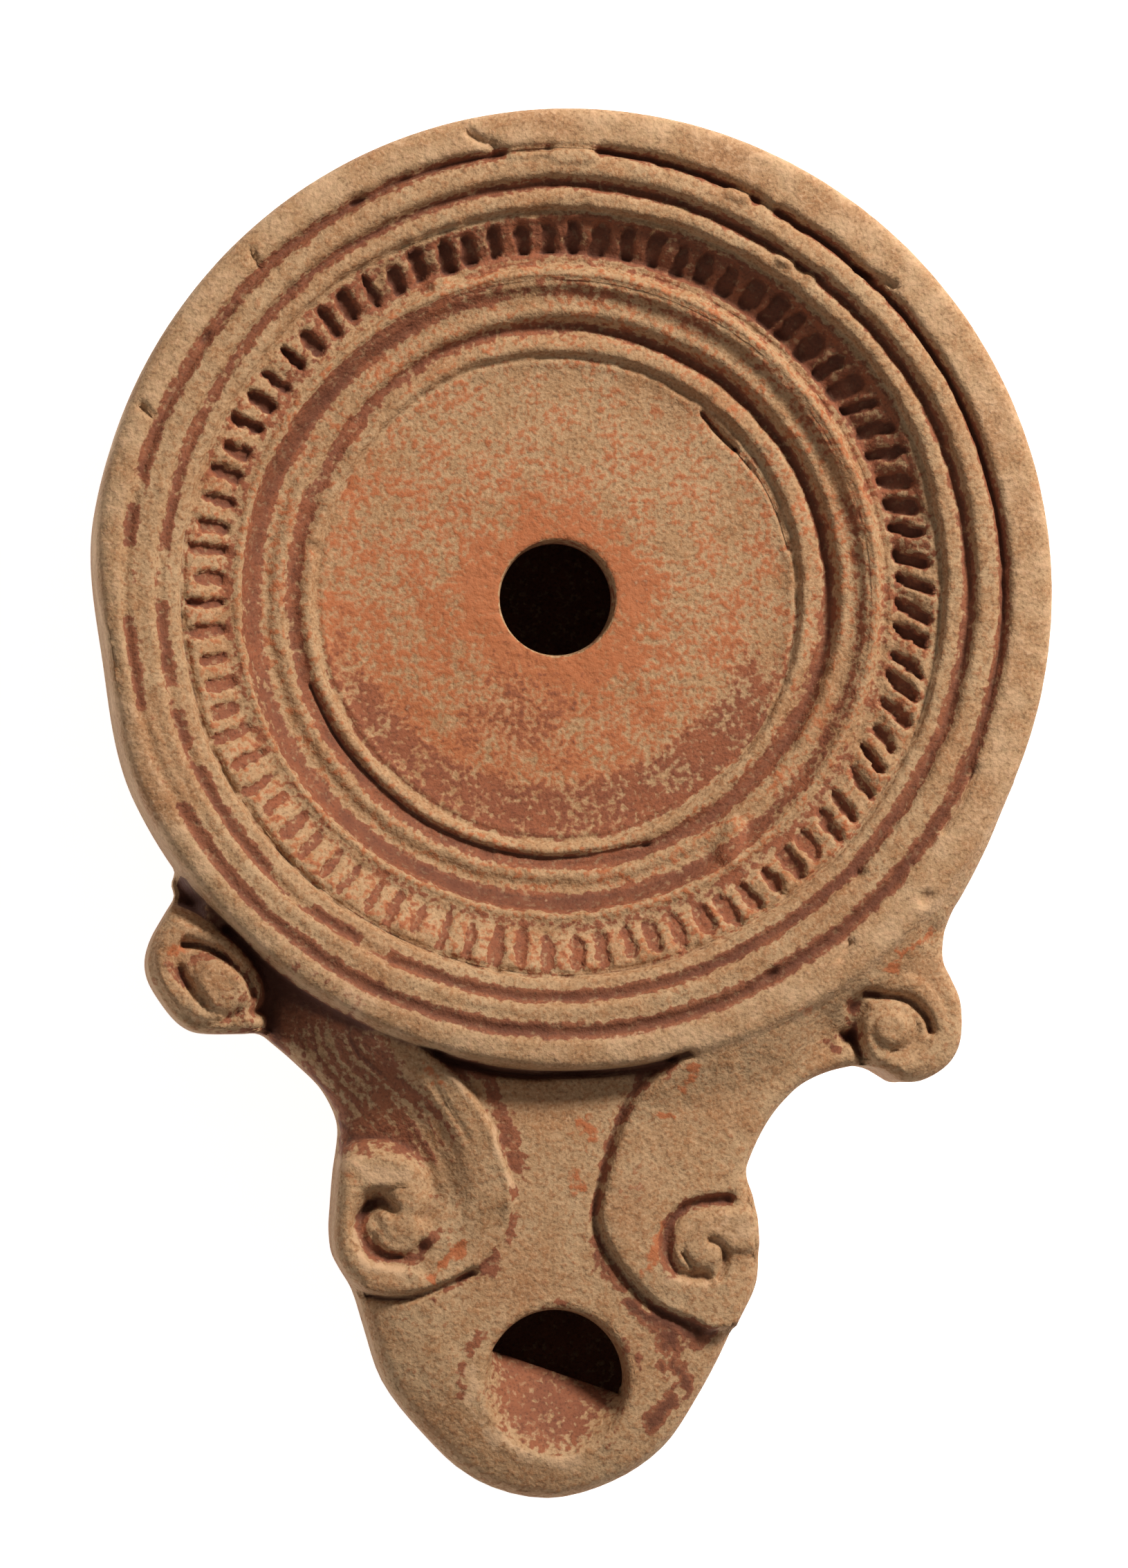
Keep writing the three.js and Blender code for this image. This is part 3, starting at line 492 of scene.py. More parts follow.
def ringPlace(x, y):
    # where each point lies on the ringed profile: its distance from the rings' centre less the rings' stray,
    # and past the last groove the distance to the body's edge
    radius, clock = np.hypot(x, y), clockOf(x, y)
    at = np.array([row[0] for row in body["stray"]])
    stray = np.array([byClock(clock, row[1]) for row in body["stray"]])
    k = np.clip(np.searchsorted(at, radius) - 1, 0, len(at) - 2)
    t = np.clip((radius - at[k]) / (at[k + 1] - at[k]), 0, 1)
    point = np.arange(len(x))
    shift = stray[k, point] * (1 - t) + stray[k + 1, point] * t
    edge = body["radius"] - bodyDepth(x, y)
    share = smoothStep(33.2, 34.6, (radius + edge) / 2)
    turn = np.radians(clock)
    wander = (0.13 * layeredNoise(9 * np.cos(turn) + 40, 9 * np.sin(turn) + radius * 0.35, 1.6, 11)
              + 0.09 * noise(x, y, 0.8, 13))
    return (radius - shift + wander) * (1 - share) + edge * share, clock


def clockLine(points):
    # a curve through points given as (clock direction, radius)
    turn, radius = np.radians([p[0] for p in points]), np.array([p[1] for p in points])
    return curveThrough(np.stack([radius * np.sin(turn), radius * np.cos(turn)], 1), 8)


def strokeShare(x, y, half, line):
    # 1 on a line, falling to 0 a little more than its half width away
    share = np.zeros(len(x))
    reach = half * 1.9
    low, high = line.min(axis=0) - reach, line.max(axis=0) + reach
    near = np.flatnonzero((x > low[0]) & (x < high[0]) & (y > low[1]) & (y < high[1]))
    if len(near):
        share[near] = np.exp(-(nearCurve(line, x[near], y[near])[0] / half) ** 3)
    return share


def bodyTop(x, y):
    # the ringed profile turned round the centre, with the tongues, the filled grooves and the worn places
    along, clock = ringPlace(x, y)
    height = smoothProfile(body["profile"], along) + tongueRelief(along, clock)
    for groove in body["grooves"]:
        beside = np.abs(along - groove["at"]) - groove["width"]
        fill = (1 - byClock(clock, groove["open"])) * smoothStep(0.3, 0, beside)
        height = height + fill * np.clip(groove["level"] - height, 0, 3)
    height = height + (byClock(clock, body["cavettoFill"]) * smoothStep(19.9, 21.8, along)
                       * smoothStep(23.75, 23.2, along))
    for half, rise, points in body["flaws"]:
        height = height + rise * strokeShare(x, y, half, clockLine(points))
    return height


def rollTop(radius, top, points, x, y):
    # a rounded roll along a curve
    distance = nearCurve(curveThrough(points, 6), x, y)[0]
    return top - 1.3 * smoothStep(0.4, 1.05, distance / radius) - np.clip(distance - radius, 0, 9) * 5


def streaks(volute, x, y):
    # fine lines that run along beside the rib, and where on the way to the nozzle's side each point lies
    rib = curveThrough(volute["rib"], 8)
    fromRib, share = nearCurve(rib, x, y)
    across = fromRib / (fromRib + np.clip(lampDepth(x, y), 0.01, 99))
    inside = smoothStep(-0.4, 0.1, depthInside(np.vstack([rib, volute["side"]]), x, y))
    return layeredNoise(fromRib * 3.2, share * 7 + fromRib * 0.3, 1, 77), across, inside, fromRib


def topHeight(x, y):
    # height of the lamp's top over its plan
    height = bodyTop(x, y)
    near = np.flatnonzero((y < -14) & (np.abs(x) < 36))
    px, py = x[near], y[near]
    depth = lampDepth(px, py)
    sag = nozzle["sag"] * np.clip(1 - depth / nozzle["sagWidth"], 0, 1) ** 2
    local = nozzle["top"] - sag - np.clip(-depthInside(nozzleOutline, px, py) - 0.4, 0, 9) * 8
    past = 1.5 - bodyDepth(px, py)   # distance past the shoulder's edge
    for volute in volutes:
        streak, across, part, fromRib = streaks(volute, px, py)
        plate = (smoothProfile(volute["across"], across)
                 + volute["streak"] * streak * smoothStep(0.15, 0.3, across))
        start, full, level = volute["bottom"]
        plate = plate + (level - plate) * smoothStep(start, full, py)
        rise = volute["shoulderBlend"] * (1 - smoothStep(0, voluteForm["shoulderReach"], past))
        plate = plate + (voluteForm["shoulderTop"] - plate) * rise
        for fall, size, (cx, cy) in volute["dips"]:
            plate = plate - fall * np.exp(-((px - cx) ** 2 + (py - cy) ** 2) / size ** 2)
        for radius, top, points in volute["rolls"]:
            plate = softMax(plate, rollTop(radius, top, points, px, py), 0.2)
        plate = plate + volute["crest"] * np.exp(-((fromRib - 0.2) / 0.3) ** 2)
        local = local * (1 - part) + plate * part
    local = local - nozzle["edgeDrop"] * np.clip(1 - depth / nozzle["edgeWidth"], 0, 1) ** 2.2
    local = softMax(softMax(height[near], local, 0.2), nozzle["gapFloor"], 0.3)
    for volute in volutes:
        knob = knobDepth(volute, px, py)
        rounding = np.clip(1 - np.minimum(knob, depth) / voluteForm["knobEdge"], 0, 1)
        knobTop = voluteForm["knobTop"] - voluteForm["knobDrop"] * rounding ** 2.2 - np.clip(-knob, 0, 9) * 8
        local = softMax(local, knobTop, 0.25)
        for radius, top, points in volute["knobRolls"]:
            roll = rollTop(radius, top, points, px, py) - (1 - smoothStep(-0.2, 0.5, depth)) * 3
            local = softMax(local, roll, 0.15)
        for half, cut, points in volute["cuts"]:
            local = local - cut * strokeShare(px, py, half, curveThrough(points, 6))
    local = local - stepCut[1] * strokeShare(px, py, stepCut[0], curveThrough(stepCut[2], 6))
    height[near] = local
    (uneven, size), (pitted, pitSize) = surface["uneven"], surface["pitted"]
    height = height + uneven * layeredNoise(x, y, size, 21) + pitted * noise(x, y, pitSize, 31)
    return np.minimum(height, surface["highest"])


def nozzleShare(x, y):
    # where a point lies between the nozzle's axis, 0, and its outline, 1
    centre = np.maximum(y, nozzle["tipCentre"])
    outline = nozzleOutline
    dx, dy = x - nozzle["axis"], np.minimum(y - nozzle["tipCentre"], 0)
    side = np.where(dx < 0, -1, 1)
    lowest = np.argmin(outline[:, 1])
    left = outline[10: lowest + 1]
    right = outline[lowest: -10]
    reachLeft = nozzle["axis"] - np.interp(-centre, -left[:, 1], left[:, 0])
    reachRight = np.interp(centre, right[:, 1], right[:, 0]) - nozzle["axis"]
    straight = np.where(side < 0, reachLeft, reachRight)
    tip = outline[outline[:, 1] <= nozzle["tipCentre"] + 0.3]
    tipAngle = np.arctan2(tip[:, 1] - nozzle["tipCentre"], tip[:, 0] - nozzle["axis"])
    tipReach = np.hypot(tip[:, 1] - nozzle["tipCentre"], tip[:, 0] - nozzle["axis"])
    order = np.argsort(tipAngle)
    rounded = np.interp(np.arctan2(dy, dx), tipAngle[order], tipReach[order])
    reach = np.where(dy < 0, rounded, straight)
    return np.hypot(dx, dy) / reach


def underHeight(x, y):
    # height of the underside: the lowest of the body's flank, the nozzle's keel and the knobs' feet
    edge = body["radius"] - bodyDepth(x, y)
    radius = np.hypot(x, y)
    along = radius + (edge - radius) * smoothStep(24, 34, radius)
    height = smoothProfile(body["underProfile"], along) + 0.5 * np.clip(along - 37, 0, 30) * 8
    keel = nozzle["keel"] + np.clip(nozzle["keelStart"] - y, 0, 40) * nozzle["keelRise"]
    share = nozzleShare(x, y)
    belly = np.sqrt(np.clip(1 - np.clip(share, 0, 1) ** 2.5, 0, 1))
    under = body["seam"] - (body["seam"] - keel) * belly + np.clip(share - 1, 0, 9) * 60
    height = softMin(height, np.where(y < -20, under, 99), 0.8)
    depth = lampDepth(x, y)
    for volute in volutes:
        knob = knobDepth(volute, x, y)
        foot = body["seam"] - 1.25 * np.clip(depth, -1, 4.2) + np.clip(-knob, 0, 30) * 2
        height = softMin(height, foot, 0.5)
    return np.clip(height, 0, body["seam"])


def boreDepth(x, y):
    # distance inside the nozzle's channel: its outline drawn in towards the axis and the tip's centre
    centre = np.maximum(y, nozzle["tipCentre"])
    scale = inside["boreScale"]
    return scale * depthInside(nozzleOutline, nozzle["axis"] + (x - nozzle["axis"]) / scale,
                               centre + (y - centre) / scale)


def beyondLedge(x, y):
    # distance past the ledge's edge, negative over the ledge
    turn = np.radians(nozzle["ledgeTurn"])
    return (x - nozzle["ledgePoint"][0]) * np.cos(turn) + (y - nozzle["ledgePoint"][1]) * np.sin(turn)


def roomDepth(x, y):
    # distance inside the hollow: the deeper of the reservoir and the channel, which stops under the ledge
    bore = softMin(boreDepth(x, y), beyondLedge(x, y) + nozzle["ledgeReach"], 0.3)
    return softMax(inside["radius"] - np.hypot(x - body["shift"][0], y - body["shift"][1]), bore, 0.5)


def ceilingHeight(x, y):
    # the reservoir's ceiling, or the channel's where that is higher, kept down under the ledge
    radius = np.hypot(x - body["shift"][0] * 0.5, y - body["shift"][1] * 0.5)
    depth = boreDepth(x, y)
    bore = inside["boreTop"] - 2 * np.clip(1 - depth / 2, 0, 1) ** 2 - np.clip(-depth, 0, 9) * 8
    ceiling = softMax(smoothProfile(inside["ceiling"], radius), bore, 0.4)
    return softMin(ceiling, nozzle["ledgeHeight"] - 1.3 + np.clip(beyondLedge(x, y) - 0.2, 0, 9) * 4, 0.3)


def floorHeight(x, y):
    # the reservoir's floor, or the channel's rounded one where that is lower
    radius = np.hypot(x - body["shift"][0] * 0.5, y - body["shift"][1] * 0.5)
    keel = nozzle["keel"] + inside["boreWall"] + np.clip(nozzle["keelStart"] - y, 0, 40) * nozzle["keelRise"]
    share = nozzleShare(x, y) / inside["boreScale"]
    bore = np.where(y < -22, body["seam"] - (body["seam"] - keel) * np.sqrt(np.clip(1 - share ** 2.5, 0, 1))
                    + np.clip(share - 1, 0, 9) * 60, 99)
    return softMin(smoothProfile(inside["floor"], radius), bore, 0.6)


planCentre = np.array([0.0, -18.0])   # every outline of the lamp is seen whole from here


def outlineAt(depthOf, level, angles):
    # the place in each direction from the plan's centre where the depth falls to the level
    near, far = np.zeros(len(angles)), np.full(len(angles), 66.0)
    for _ in range(24):
        middle = (near + far) / 2
        x, y = planCentre[0] + middle * np.cos(angles), planCentre[1] + middle * np.sin(angles)
        within = depthOf(x, y) > level
        near, far = np.where(within, middle, near), np.where(within, far, middle)
    return planCentre + near[:, None] * np.stack([np.cos(angles), np.sin(angles)], 1)


def evenAngles(depthOf, level, gap):
    # directions whose points on the outline are the same distance apart
    angles = np.linspace(0, 2 * np.pi, 4000)
    points = outlineAt(depthOf, level, angles)
    done = np.concatenate([[0], np.cumsum(np.linalg.norm(np.diff(points, axis=0), axis=1))])
    count = int(done[-1] / gap)
    return np.interp(np.arange(count) / count * done[-1], done, angles)


def circle(centre, radius, count):
    angles = np.arange(count) * 2 * np.pi / count
    return np.array(centre) + np.stack([radius * np.cos(angles), radius * np.sin(angles)], 1)


def ringField(bands):
    # rings of points, each set half a step round from the one before
    rings = []
    for inner, outer, step, gap in bands:
        radii = np.linspace(inner, outer, max(1, round((outer - inner) / step)), endpoint=False)
        count = int(np.pi * (inner + outer) / gap)
        angles = (np.arange(count)[None, :] + 0.5 * (np.arange(len(radii)) % 2)[:, None]) * 2 * np.pi / count
        ring = np.stack([radii[:, None] * np.cos(angles), radii[:, None] * np.sin(angles)], 2)
        rings.append(ring.reshape(-1, 2))
    return np.concatenate(rings)


def evenField(gap):
    # points in staggered rows over the whole plan
    rows, columns = np.arange(-70, 40, gap * 0.866), np.arange(-40, 40, gap)
    x = columns[None, :] + 0.5 * gap * (np.arange(len(rows)) % 2)[:, None]
    return np.stack([x, np.broadcast_to(rows[:, None], x.shape)], 2).reshape(-1, 2)


def sheetFaces(points, loops, keep):
    # triangles between points of the plan; the first points are closed loops with these many points each,
    # which stay edges, and keep picks triangles by their middle
    edges, first = [], 0
    for loop in loops:
        edges += [(first + i, first + (i + 1) % loop) for i in range(loop)]
        first += loop
    made = delaunay_2d_cdt([Vector(p) for p in points.tolist()], edges, [], 0, 1e-7, False)
    if len(made[0]) != len(points):
        raise ValueError("two points of a sheet fall together")
    faces = np.array(made[2])
    middle = points[faces].mean(axis=1)
    return faces[keep(middle[:, 0], middle[:, 1])]


def stripFaces(rows):
    # two triangles for each pair of neighbours in each pair of rows, closed round
    low, high = rows[:-1], rows[1:]
    a, b, c, d = low, np.roll(low, -1, axis=1), np.roll(high, -1, axis=1), high
    return np.concatenate([np.stack([a, b, c], 2).reshape(-1, 3), np.stack([a, c, d], 2).reshape(-1, 3)])


def away(points, centre, radius):
    return np.hypot(points[:, 0] - centre[0], points[:, 1] - centre[1]) > radius


def ledgeLoop(count):
    # the wick hole's lower edge: its circle, cut straight across where the ledge ends; the points on the cut
    # are evenly spaced, and share tells how far each lies from the circle
    radius, turn = nozzle["wickRadius"] - 0.05, nozzle["ledgeTurn"]
    points = circle(nozzle["wickHole"], radius, count)
    angles = np.arange(count) * 360 / count
    spread = np.degrees(np.arccos(np.clip(-beyondLedge(*nozzle["wickHole"]) / radius, -1, 1)))
    first, last = turn + spread, turn + 360 - spread
    along = (angles - first) / (last - first)
    ends = np.radians([first, last])
    corners = np.array(nozzle["wickHole"]) + radius * np.stack([np.cos(ends), np.sin(ends)], 1)
    over = (along > 0) & (along < 1)
    share = np.where(over, np.clip(-beyondLedge(points[:, 0], points[:, 1]) / radius, 0, 1), 0)
    points[over] = corners[0] + along[over, None] * (corners[1] - corners[0])
    return points, share


# The wick hole and the filling hole. Flare is how much wider the rim is than the bore, and the rows go down
# the wall as (share of its height, distance out from the bore).
holes = [
    {"centre": nozzle["wickHole"], "radius": nozzle["wickRadius"], "flare": 0.6, "sides": 120,
     "rows": [(0.96, 0.27), (0.88, 0.12), (0.62, 0.1), (0.36, 0.08), (0.15, 0.04), (0, 0)]},
    {"centre": (0, 0), "radius": body["holeRadius"], "flare": 0.3, "sides": 90,
     "rows": [(0.94, 0.135), (0.8, 0.1), (0.5, 0), (0.15, 0)]},
]

# How far inside the lamp's plan the top sheet and the underside end, and the same for the room inside
sheetEdge = {"top": 0.55, "under": 0.95, "room": 0.3}


def outsideHoles(x, y, margin, flared=1):
    # true further than the margin from every hole: from its flared rim, or from its bore where flared is 0
    return np.all([np.hypot(x - hole["centre"][0], y - hole["centre"][1])
                   > hole["radius"] + hole["flare"] * flared + margin for hole in holes], axis=0)


def addPoints(skin, plan, height):
    # points over the plan at the given heights; returns their numbers
    skin["points"].append(np.column_stack([plan, height]))
    skin["count"] += len(plan)
    return np.arange(skin["count"] - len(plan), skin["count"])


def topSheet(skin, angles):
    # the top, whose points start with the outer loop and then a loop for each hole
    edge = sheetEdge["top"]
    loops = [outlineAt(lampDepth, edge, angles)]
    loops += [circle(hole["centre"], hole["radius"] + hole["flare"], hole["sides"]) for hole in holes]
    even = evenField(spacing["nozzle"])
    even = even[(even[:, 1] < -10) & away(even, (0, 0), 36.8) & outsideHoles(*even.T, 0.18)]
    field = np.concatenate([ringField(spacing["rings"]), even])
    field = field[lampDepth(*field.T) > edge + 0.17]
    plan = np.concatenate([*loops, field])
    faces = sheetFaces(plan, [len(loop) for loop in loops],
                       lambda x, y: (lampDepth(x, y) > edge - 0.02) & outsideHoles(x, y, -0.02))
    top = addPoints(skin, plan, topHeight(*plan.T))
    skin["faces"].append(top[faces])
    print("top sheet:", len(faces), "triangles")
    return top


def underSheet(skin, angles):
    # the underside, whose points start with its outer loop
    edge = sheetEdge["under"]
    loop = outlineAt(lampDepth, edge, angles)
    even = evenField(spacing["under"])
    even = even[(even[:, 1] < -10) & away(even, (0, 0), 36.9)]
    field = np.concatenate([ringField(spacing["underRings"]), even])
    field = field[lampDepth(*field.T) > edge + 0.6]
    plan = np.concatenate([loop, field])
    faces = sheetFaces(plan, [len(loop)], lambda x, y: lampDepth(x, y) > edge - 0.02)
    under = addPoints(skin, plan, underHeight(*plan.T))
    skin["faces"].append(under[faces][:, ::-1])
    return under


def flank(skin, angles, lowLoop, highLoop):
    # rows from the underside's loop out to the seam, up the side, and over the brow to the top's loop
    rows = [lowLoop]
    for level in (0.6, 0.32, 0.15):
        ring = outlineAt(lampDepth, level, angles)
        rows.append(addPoints(skin, ring, underHeight(*ring.T)))
    browHeight = topHeight(*outlineAt(lampDepth, 0.1, angles).T)
    for share, level in ((0, 0.03), (0.12, 0.1), (0.4, 0.08), (0.7, 0.08), (1, 0.1)):
        ring = outlineAt(lampDepth, level, angles)
        rows.append(addPoints(skin, ring, body["seam"] + (browHeight - body["seam"]) * share))
    for level in (0.2, 0.35):
        ring = outlineAt(lampDepth, level, angles)
        rows.append(addPoints(skin, ring, topHeight(*ring.T)))
    rows.append(highLoop)
    skin["faces"].append(stripFaces(np.array(rows)))
    print("flank:", len(skin["faces"][-1]), "triangles")


def room(skin, wickLow):
    # the ceiling, floor and wall of the reservoir and the channel; the ceiling's points start with the outer
    # loop and then a loop for each hole
    edge = sheetEdge["room"]
    angles = evenAngles(roomDepth, edge, 1.2)
    loop = outlineAt(roomDepth, edge, angles)
    field = evenField(spacing["inside"])
    field = field[roomDepth(*field.T) > edge + 0.6]
    (wickX, wickY), wickRadius = nozzle["wickHole"], nozzle["wickRadius"]
    fillingLow = circle((0, 0), body["holeRadius"] + 0.15, holes[1]["sides"])
    plan = np.concatenate([loop, wickLow, fillingLow, field[outsideHoles(*field.T, 0.7, flared=0)]])

    def onCeiling(x, y):
        open = (np.hypot(x - wickX, y - wickY) < wickRadius - 0.06) & (beyondLedge(x, y) > 0)
        return (roomDepth(x, y) > edge - 0.05) & ~open & (np.hypot(x, y) > body["holeRadius"] + 0.13)

    faces = sheetFaces(plan, [len(loop), len(wickLow), len(fillingLow)], onCeiling)
    ceiling = addPoints(skin, plan, ceilingHeight(*plan.T))
    skin["faces"].append(ceiling[faces][:, ::-1])
    plan = np.concatenate([loop, field])
    faces = sheetFaces(plan, [len(loop)], lambda x, y: roomDepth(x, y) > edge - 0.05)
    floor = addPoints(skin, plan, floorHeight(*plan.T))
    skin["faces"].append(floor[faces])
    upper, lower = ceilingHeight(*loop.T), floorHeight(*loop.T)
    middle = np.minimum(body["seam"], upper - 0.5)
    rows = [ceiling[: len(loop)]]
    for level, share in ((0.1, 0.7), (0, 0.4), (0, 0.1), (0.1, -0.4)):
        height = np.where(share > 0, middle + (upper - middle) * share, middle + (middle - lower) * share)
        rows.append(addPoints(skin, outlineAt(roomDepth, level, angles), height))
    rows.append(floor[: len(loop)])
    skin["faces"].append(stripFaces(np.array(rows)))
    return ceiling, len(loop)


def holeWalls(skin, upperLoops, lowerLoops, wickLow, ledgeShare):
    # the walls of the holes, from the top's loops down to the ceiling's; the wick hole's rows move over to
    # its lower edge on the way down, and stop on the ledge where that is
    for hole, upper, lower in zip(holes, upperLoops, lowerLoops):
        centre, radius = np.array(hole["centre"]), hole["radius"]
        ring = circle(centre, 1, hole["sides"]) - centre
        high = topHeight(*(centre + ring * (radius + hole["flare"])).T)
        low = ceilingHeight(*(centre + ring * (radius + 0.1)).T)
        if hole is holes[0]:
            ledge = nozzle["ledgeHeight"] + 0.9 * (1 - smoothStep(0, 0.3, ledgeShare))
            low = np.where(ledgeShare > 0, ledge, low + 0.2)
        rows = [upper]
        for share, out in hole["rows"]:
            place = centre + ring * (radius + out)
            if hole is holes[0]:
                along = 1 - np.clip(share / 0.88, 0, 1)
                place = place * (1 - along) + wickLow * along
            rows.append(addPoints(skin, place, low + (high - low) * share))
        rows.append(lower)
        skin["faces"].append(stripFaces(np.array(rows)))


def holeLoops(points, start):
    # the numbers of each hole's loop, which follow one another from the start
    loops = []
    for hole in holes:
        loops.append(points[start: start + hole["sides"]])
        start += hole["sides"]
    return loops


def lampMesh():
    # the closed skin of the lamp, its points and triangles, and how many of the points are the top's and how
    # many the whole outside's
    skin = {"points": [], "faces": [], "count": 0}
    angles = evenAngles(lampDepth, 0.1, spacing["edge"])
    top = topSheet(skin, angles)
    under = underSheet(skin, angles)
    flank(skin, angles, under[: len(angles)], top[: len(angles)])
    outerCount = skin["count"]
    wickLow, ledgeShare = ledgeLoop(holes[0]["sides"])
    ceiling, ceilingStart = room(skin, wickLow)
    holeWalls(skin, holeLoops(top, len(angles)), holeLoops(ceiling, ceilingStart), wickLow, ledgeShare)

    points, triangles = np.concatenate(skin["points"]), np.concatenate(skin["faces"])
    print("lamp:", len(points), "points", len(triangles), "triangles")
    mesh = bpy.data.meshes.new("lampBody")
    mesh.vertices.add(len(points))
    mesh.vertices.foreach_set("co", (points * mm).ravel())
    mesh.loops.add(len(triangles) * 3)
    mesh.loops.foreach_set("vertex_index", triangles.ravel())
    mesh.polygons.add(len(triangles))
    mesh.polygons.foreach_set("loop_start", np.arange(0, len(triangles) * 3, 3))
    mesh.polygons.foreach_set("loop_total", np.full(len(triangles), 3))
    mesh.update(calc_edges=True)
    mesh.validate()
    mesh.polygons.foreach_set("use_smooth", np.ones(len(triangles), bool))
    return mesh, points, triangles, len(top), outerCount


def smoothedOver(values, triangles, rounds):
    # each point takes the mean of its neighbours, over and over
    a = np.concatenate([triangles[:, 0], triangles[:, 1], triangles[:, 2]])
    b = np.concatenate([triangles[:, 1], triangles[:, 2], triangles[:, 0]])
    count = np.bincount(a, minlength=len(values)) + np.bincount(b, minlength=len(values))
    for _ in range(rounds):
        total = np.bincount(a, values[b], minlength=len(values))
        total = total + np.bincount(b, values[a], minlength=len(values))
        values = total / np.maximum(count, 1)
    return values


def addAttribute(mesh, name, values):
    mesh.attributes.new(name, "FLOAT", "POINT").data.foreach_set("value", values.astype(np.float32))


mesh, points, triangles, topCount, outerCount = lampMesh()

# Places where the red slip is left, where the clay burnt orange and where it is worn pale, each as
# (half width, amount, points); a wide slip patch beside the left knob is painted shade, and the pale stroke
# along the left rib is a painted highlight
paint = {
    "slip": [
        (0.75, 0.9, [(-8.6, -35), (-6, -35.9), (-4.9, -37.6), (-4.2, -39.5), (-3.7, -41.5), (-3.2, -42.9)]),
        (0.4, 0.8, [(-3.9, -44.5), (-3.6, -46.5), (-4.2, -48), (-5.3, -49.7), (-6.8, -51), (-9.4, -52.1)]),
        (0.75, 0.8, [(-5.8, -49.6), (-5.2, -50)]),
        (0.6, 0.9, [(8.2, -34.9), (6.6, -36.1), (5.3, -37.6), (4.4, -39.2)]),
        (0.5, 0.8, [(3.8, -41), (3, -44), (2.5, -46)]),
        (0.65, 0.8, [(2.4, -48.5), (3.1, -50.2), (4.2, -51.2)]),
        (0.85, 1.25, [(5.4, -53), (7.2, -54), (9.5, -54.6), (11.2, -55)]),
        (0.85, 1.25, [(8, -55.4), (8.3, -57.4), (9.2, -58.7), (8.2, -60.2), (6.9, -61.5)]),
        (0.45, 0.9, [(9.2, -56.1), (10.7, -55.6)]), (0.4, 0.7, [(4.6, -55.2), (5.6, -57.2), (5.6, -58.8)]),
        (0.45, 0.7, [(-2, -52.9), (0.4, -53)]), (0.6, 0.55, [(-5.9, -55), (-7.3, -57.3), (-7.5, -59.8)]),
        (0.35, 0.75, [(-5.3, -60), (-3.8, -62.6), (-1.2, -63.6), (2, -63.3), (4.2, -62)]),
        (0.4, 0.5, [(-5, -63.3), (-3.4, -64.4)]), (0.5, 0.5, [(3.6, -62.8), (4.4, -63.6)]),
        (0.75, 0.9, [(21.9, -30.8), (22.3, -32.6)]), (0.75, 0.9, [(20.3, -33.2), (20.5, -33.6)]),
        (0.55, 0.9, [(10, -45.2), (12.4, -44.8)]),
        (0.7, 0.85, [(9.4, -45.3), (8, -46.8), (7.6, -48.5), (7.8, -50.4)]),
        (0.5, 0.7, [(-29.3, -27.2), (-28.9, -27.9), (-28, -28.8)]),
        (0.35, 0.7, [(-27.7, -27.5), (-26.2, -27.1), (-25.5, -27)]),
        # the wide patch beside the left knob is painted shade, given as slip, where the shoulder's shadow
        # falls
        (0.4, 0.8, [(-24.6, -31.9), (-23.3, -32)]), (2.2, 0.8, [(-21.8, -29.6), (-20.5, -31.6)]),
        (0.5, 0.8, [(-14.8, -46.2), (-14.9, -47.6), (-13.6, -49.2), (-12, -49.5), (-10.5, -49),
                    (-9.6, -47.6)]),
    ],
    "orange": [
        (1.1, 0.7, [(1.6, -39.6), (2, -40.2)]), (0.9, 0.6, [(1, -43.2), (1.5, -43.6)]),
        (0.5, 0.7, [(8.9, -36.9), (9.8, -35.3)]), (0.5, 0.8, [(7.5, -38.9), (8.1, -38.9)]),
        (0.5, 0.6, [(17, -31.4), (18.4, -31.2)]), (0.6, 0.8, [(24.4, -27.7), (25, -27.8)]),
        (0.5, 0.6, [(25, -26.7), (26.6, -26.2), (27.5, -25)]),
        (0.4, 0.9, [(-7.4, -48.4), (-8.6, -49.7), (-9.7, -50.7)]),
        (0.6, 0.7, [(-28.8, -26.5), (-28.2, -26.6)]), (0.5, 0.6, [(-10.4, -35.4), (-9.2, -36.6)]),
        (0.6, 0.4, [(-15.6, -43.2), (-15.6, -42.2)]), (0.4, 0.7, [(7.4, -46.9), (6.4, -49.8), (6, -50.4)]),
    ],
    "pale": [
        (0.7, 0.7, [(-6.4, -57.6), (-6.4, -60.2), (-5.2, -62.6)]), (0.9, 0.9, [(-4.6, -62.9), (-2.6, -63.4)]),
        (0.8, 0.7, [(-2.4, -64.2), (1.2, -64.4)]),
        # painted highlight: a pale line along the lit edge of the left rib
        (0.3, 0.8, [(-9.6, -34.7), (-7.2, -36.9), (-5.5, -39.4), (-4.4, -42.3), (-3.8, -44.2)]),
        (0.9, 0.6, [(-15.8, -42.2), (-13.5, -43.3), (-11, -43.4)]),
        (0.5, 0.6, [(-15.4, -47.6), (-14.4, -49.8), (-12, -50.4)]),
        (1.4, 0.6, [(11.4, -46.8), (13, -47.2)]), (0.5, 0.5, [(7.2, -51.1), (11, -51.1)]),
    ],
}


# Wear, colour and painted shade that follow the shape: slip in the tongues' gaps, in the left volute's trough
# as (share, how streaky) from one place to another along the lamp, heavy there as painted shade on the shaded
# neck, in a crescent at the panel's edge as (share, centre, from and to how far out) and in a patch by the
# filling hole as (share, centre, size); slip on the underside and inside, and how bare the wick's ledge is;
# how pale the shoulder is; and the panel's burnt orange, with what the filling hole's rim, the nozzle's side,
# the left side and the rings add to it
wearAndShade = {
    "gapSlip": 0.5, "trough": (0.62, 1.2), "troughEnds": (-43.5, -40.5),
    "crescent": (0.6, (-0.6, 1.6), 14.2, 16.6), "patch": (0.4, (-3, -8.5), 40),
    "underSlip": 0.3, "insideSlip": 0.78, "ledgeBare": 0.5, "shoulderPale": 0.36,
    "panelOrange": 0.27, "rimOrange": 0.28, "lowOrange": 0.3, "leftOrange": 0.08, "ringOrange": 0.33,
}


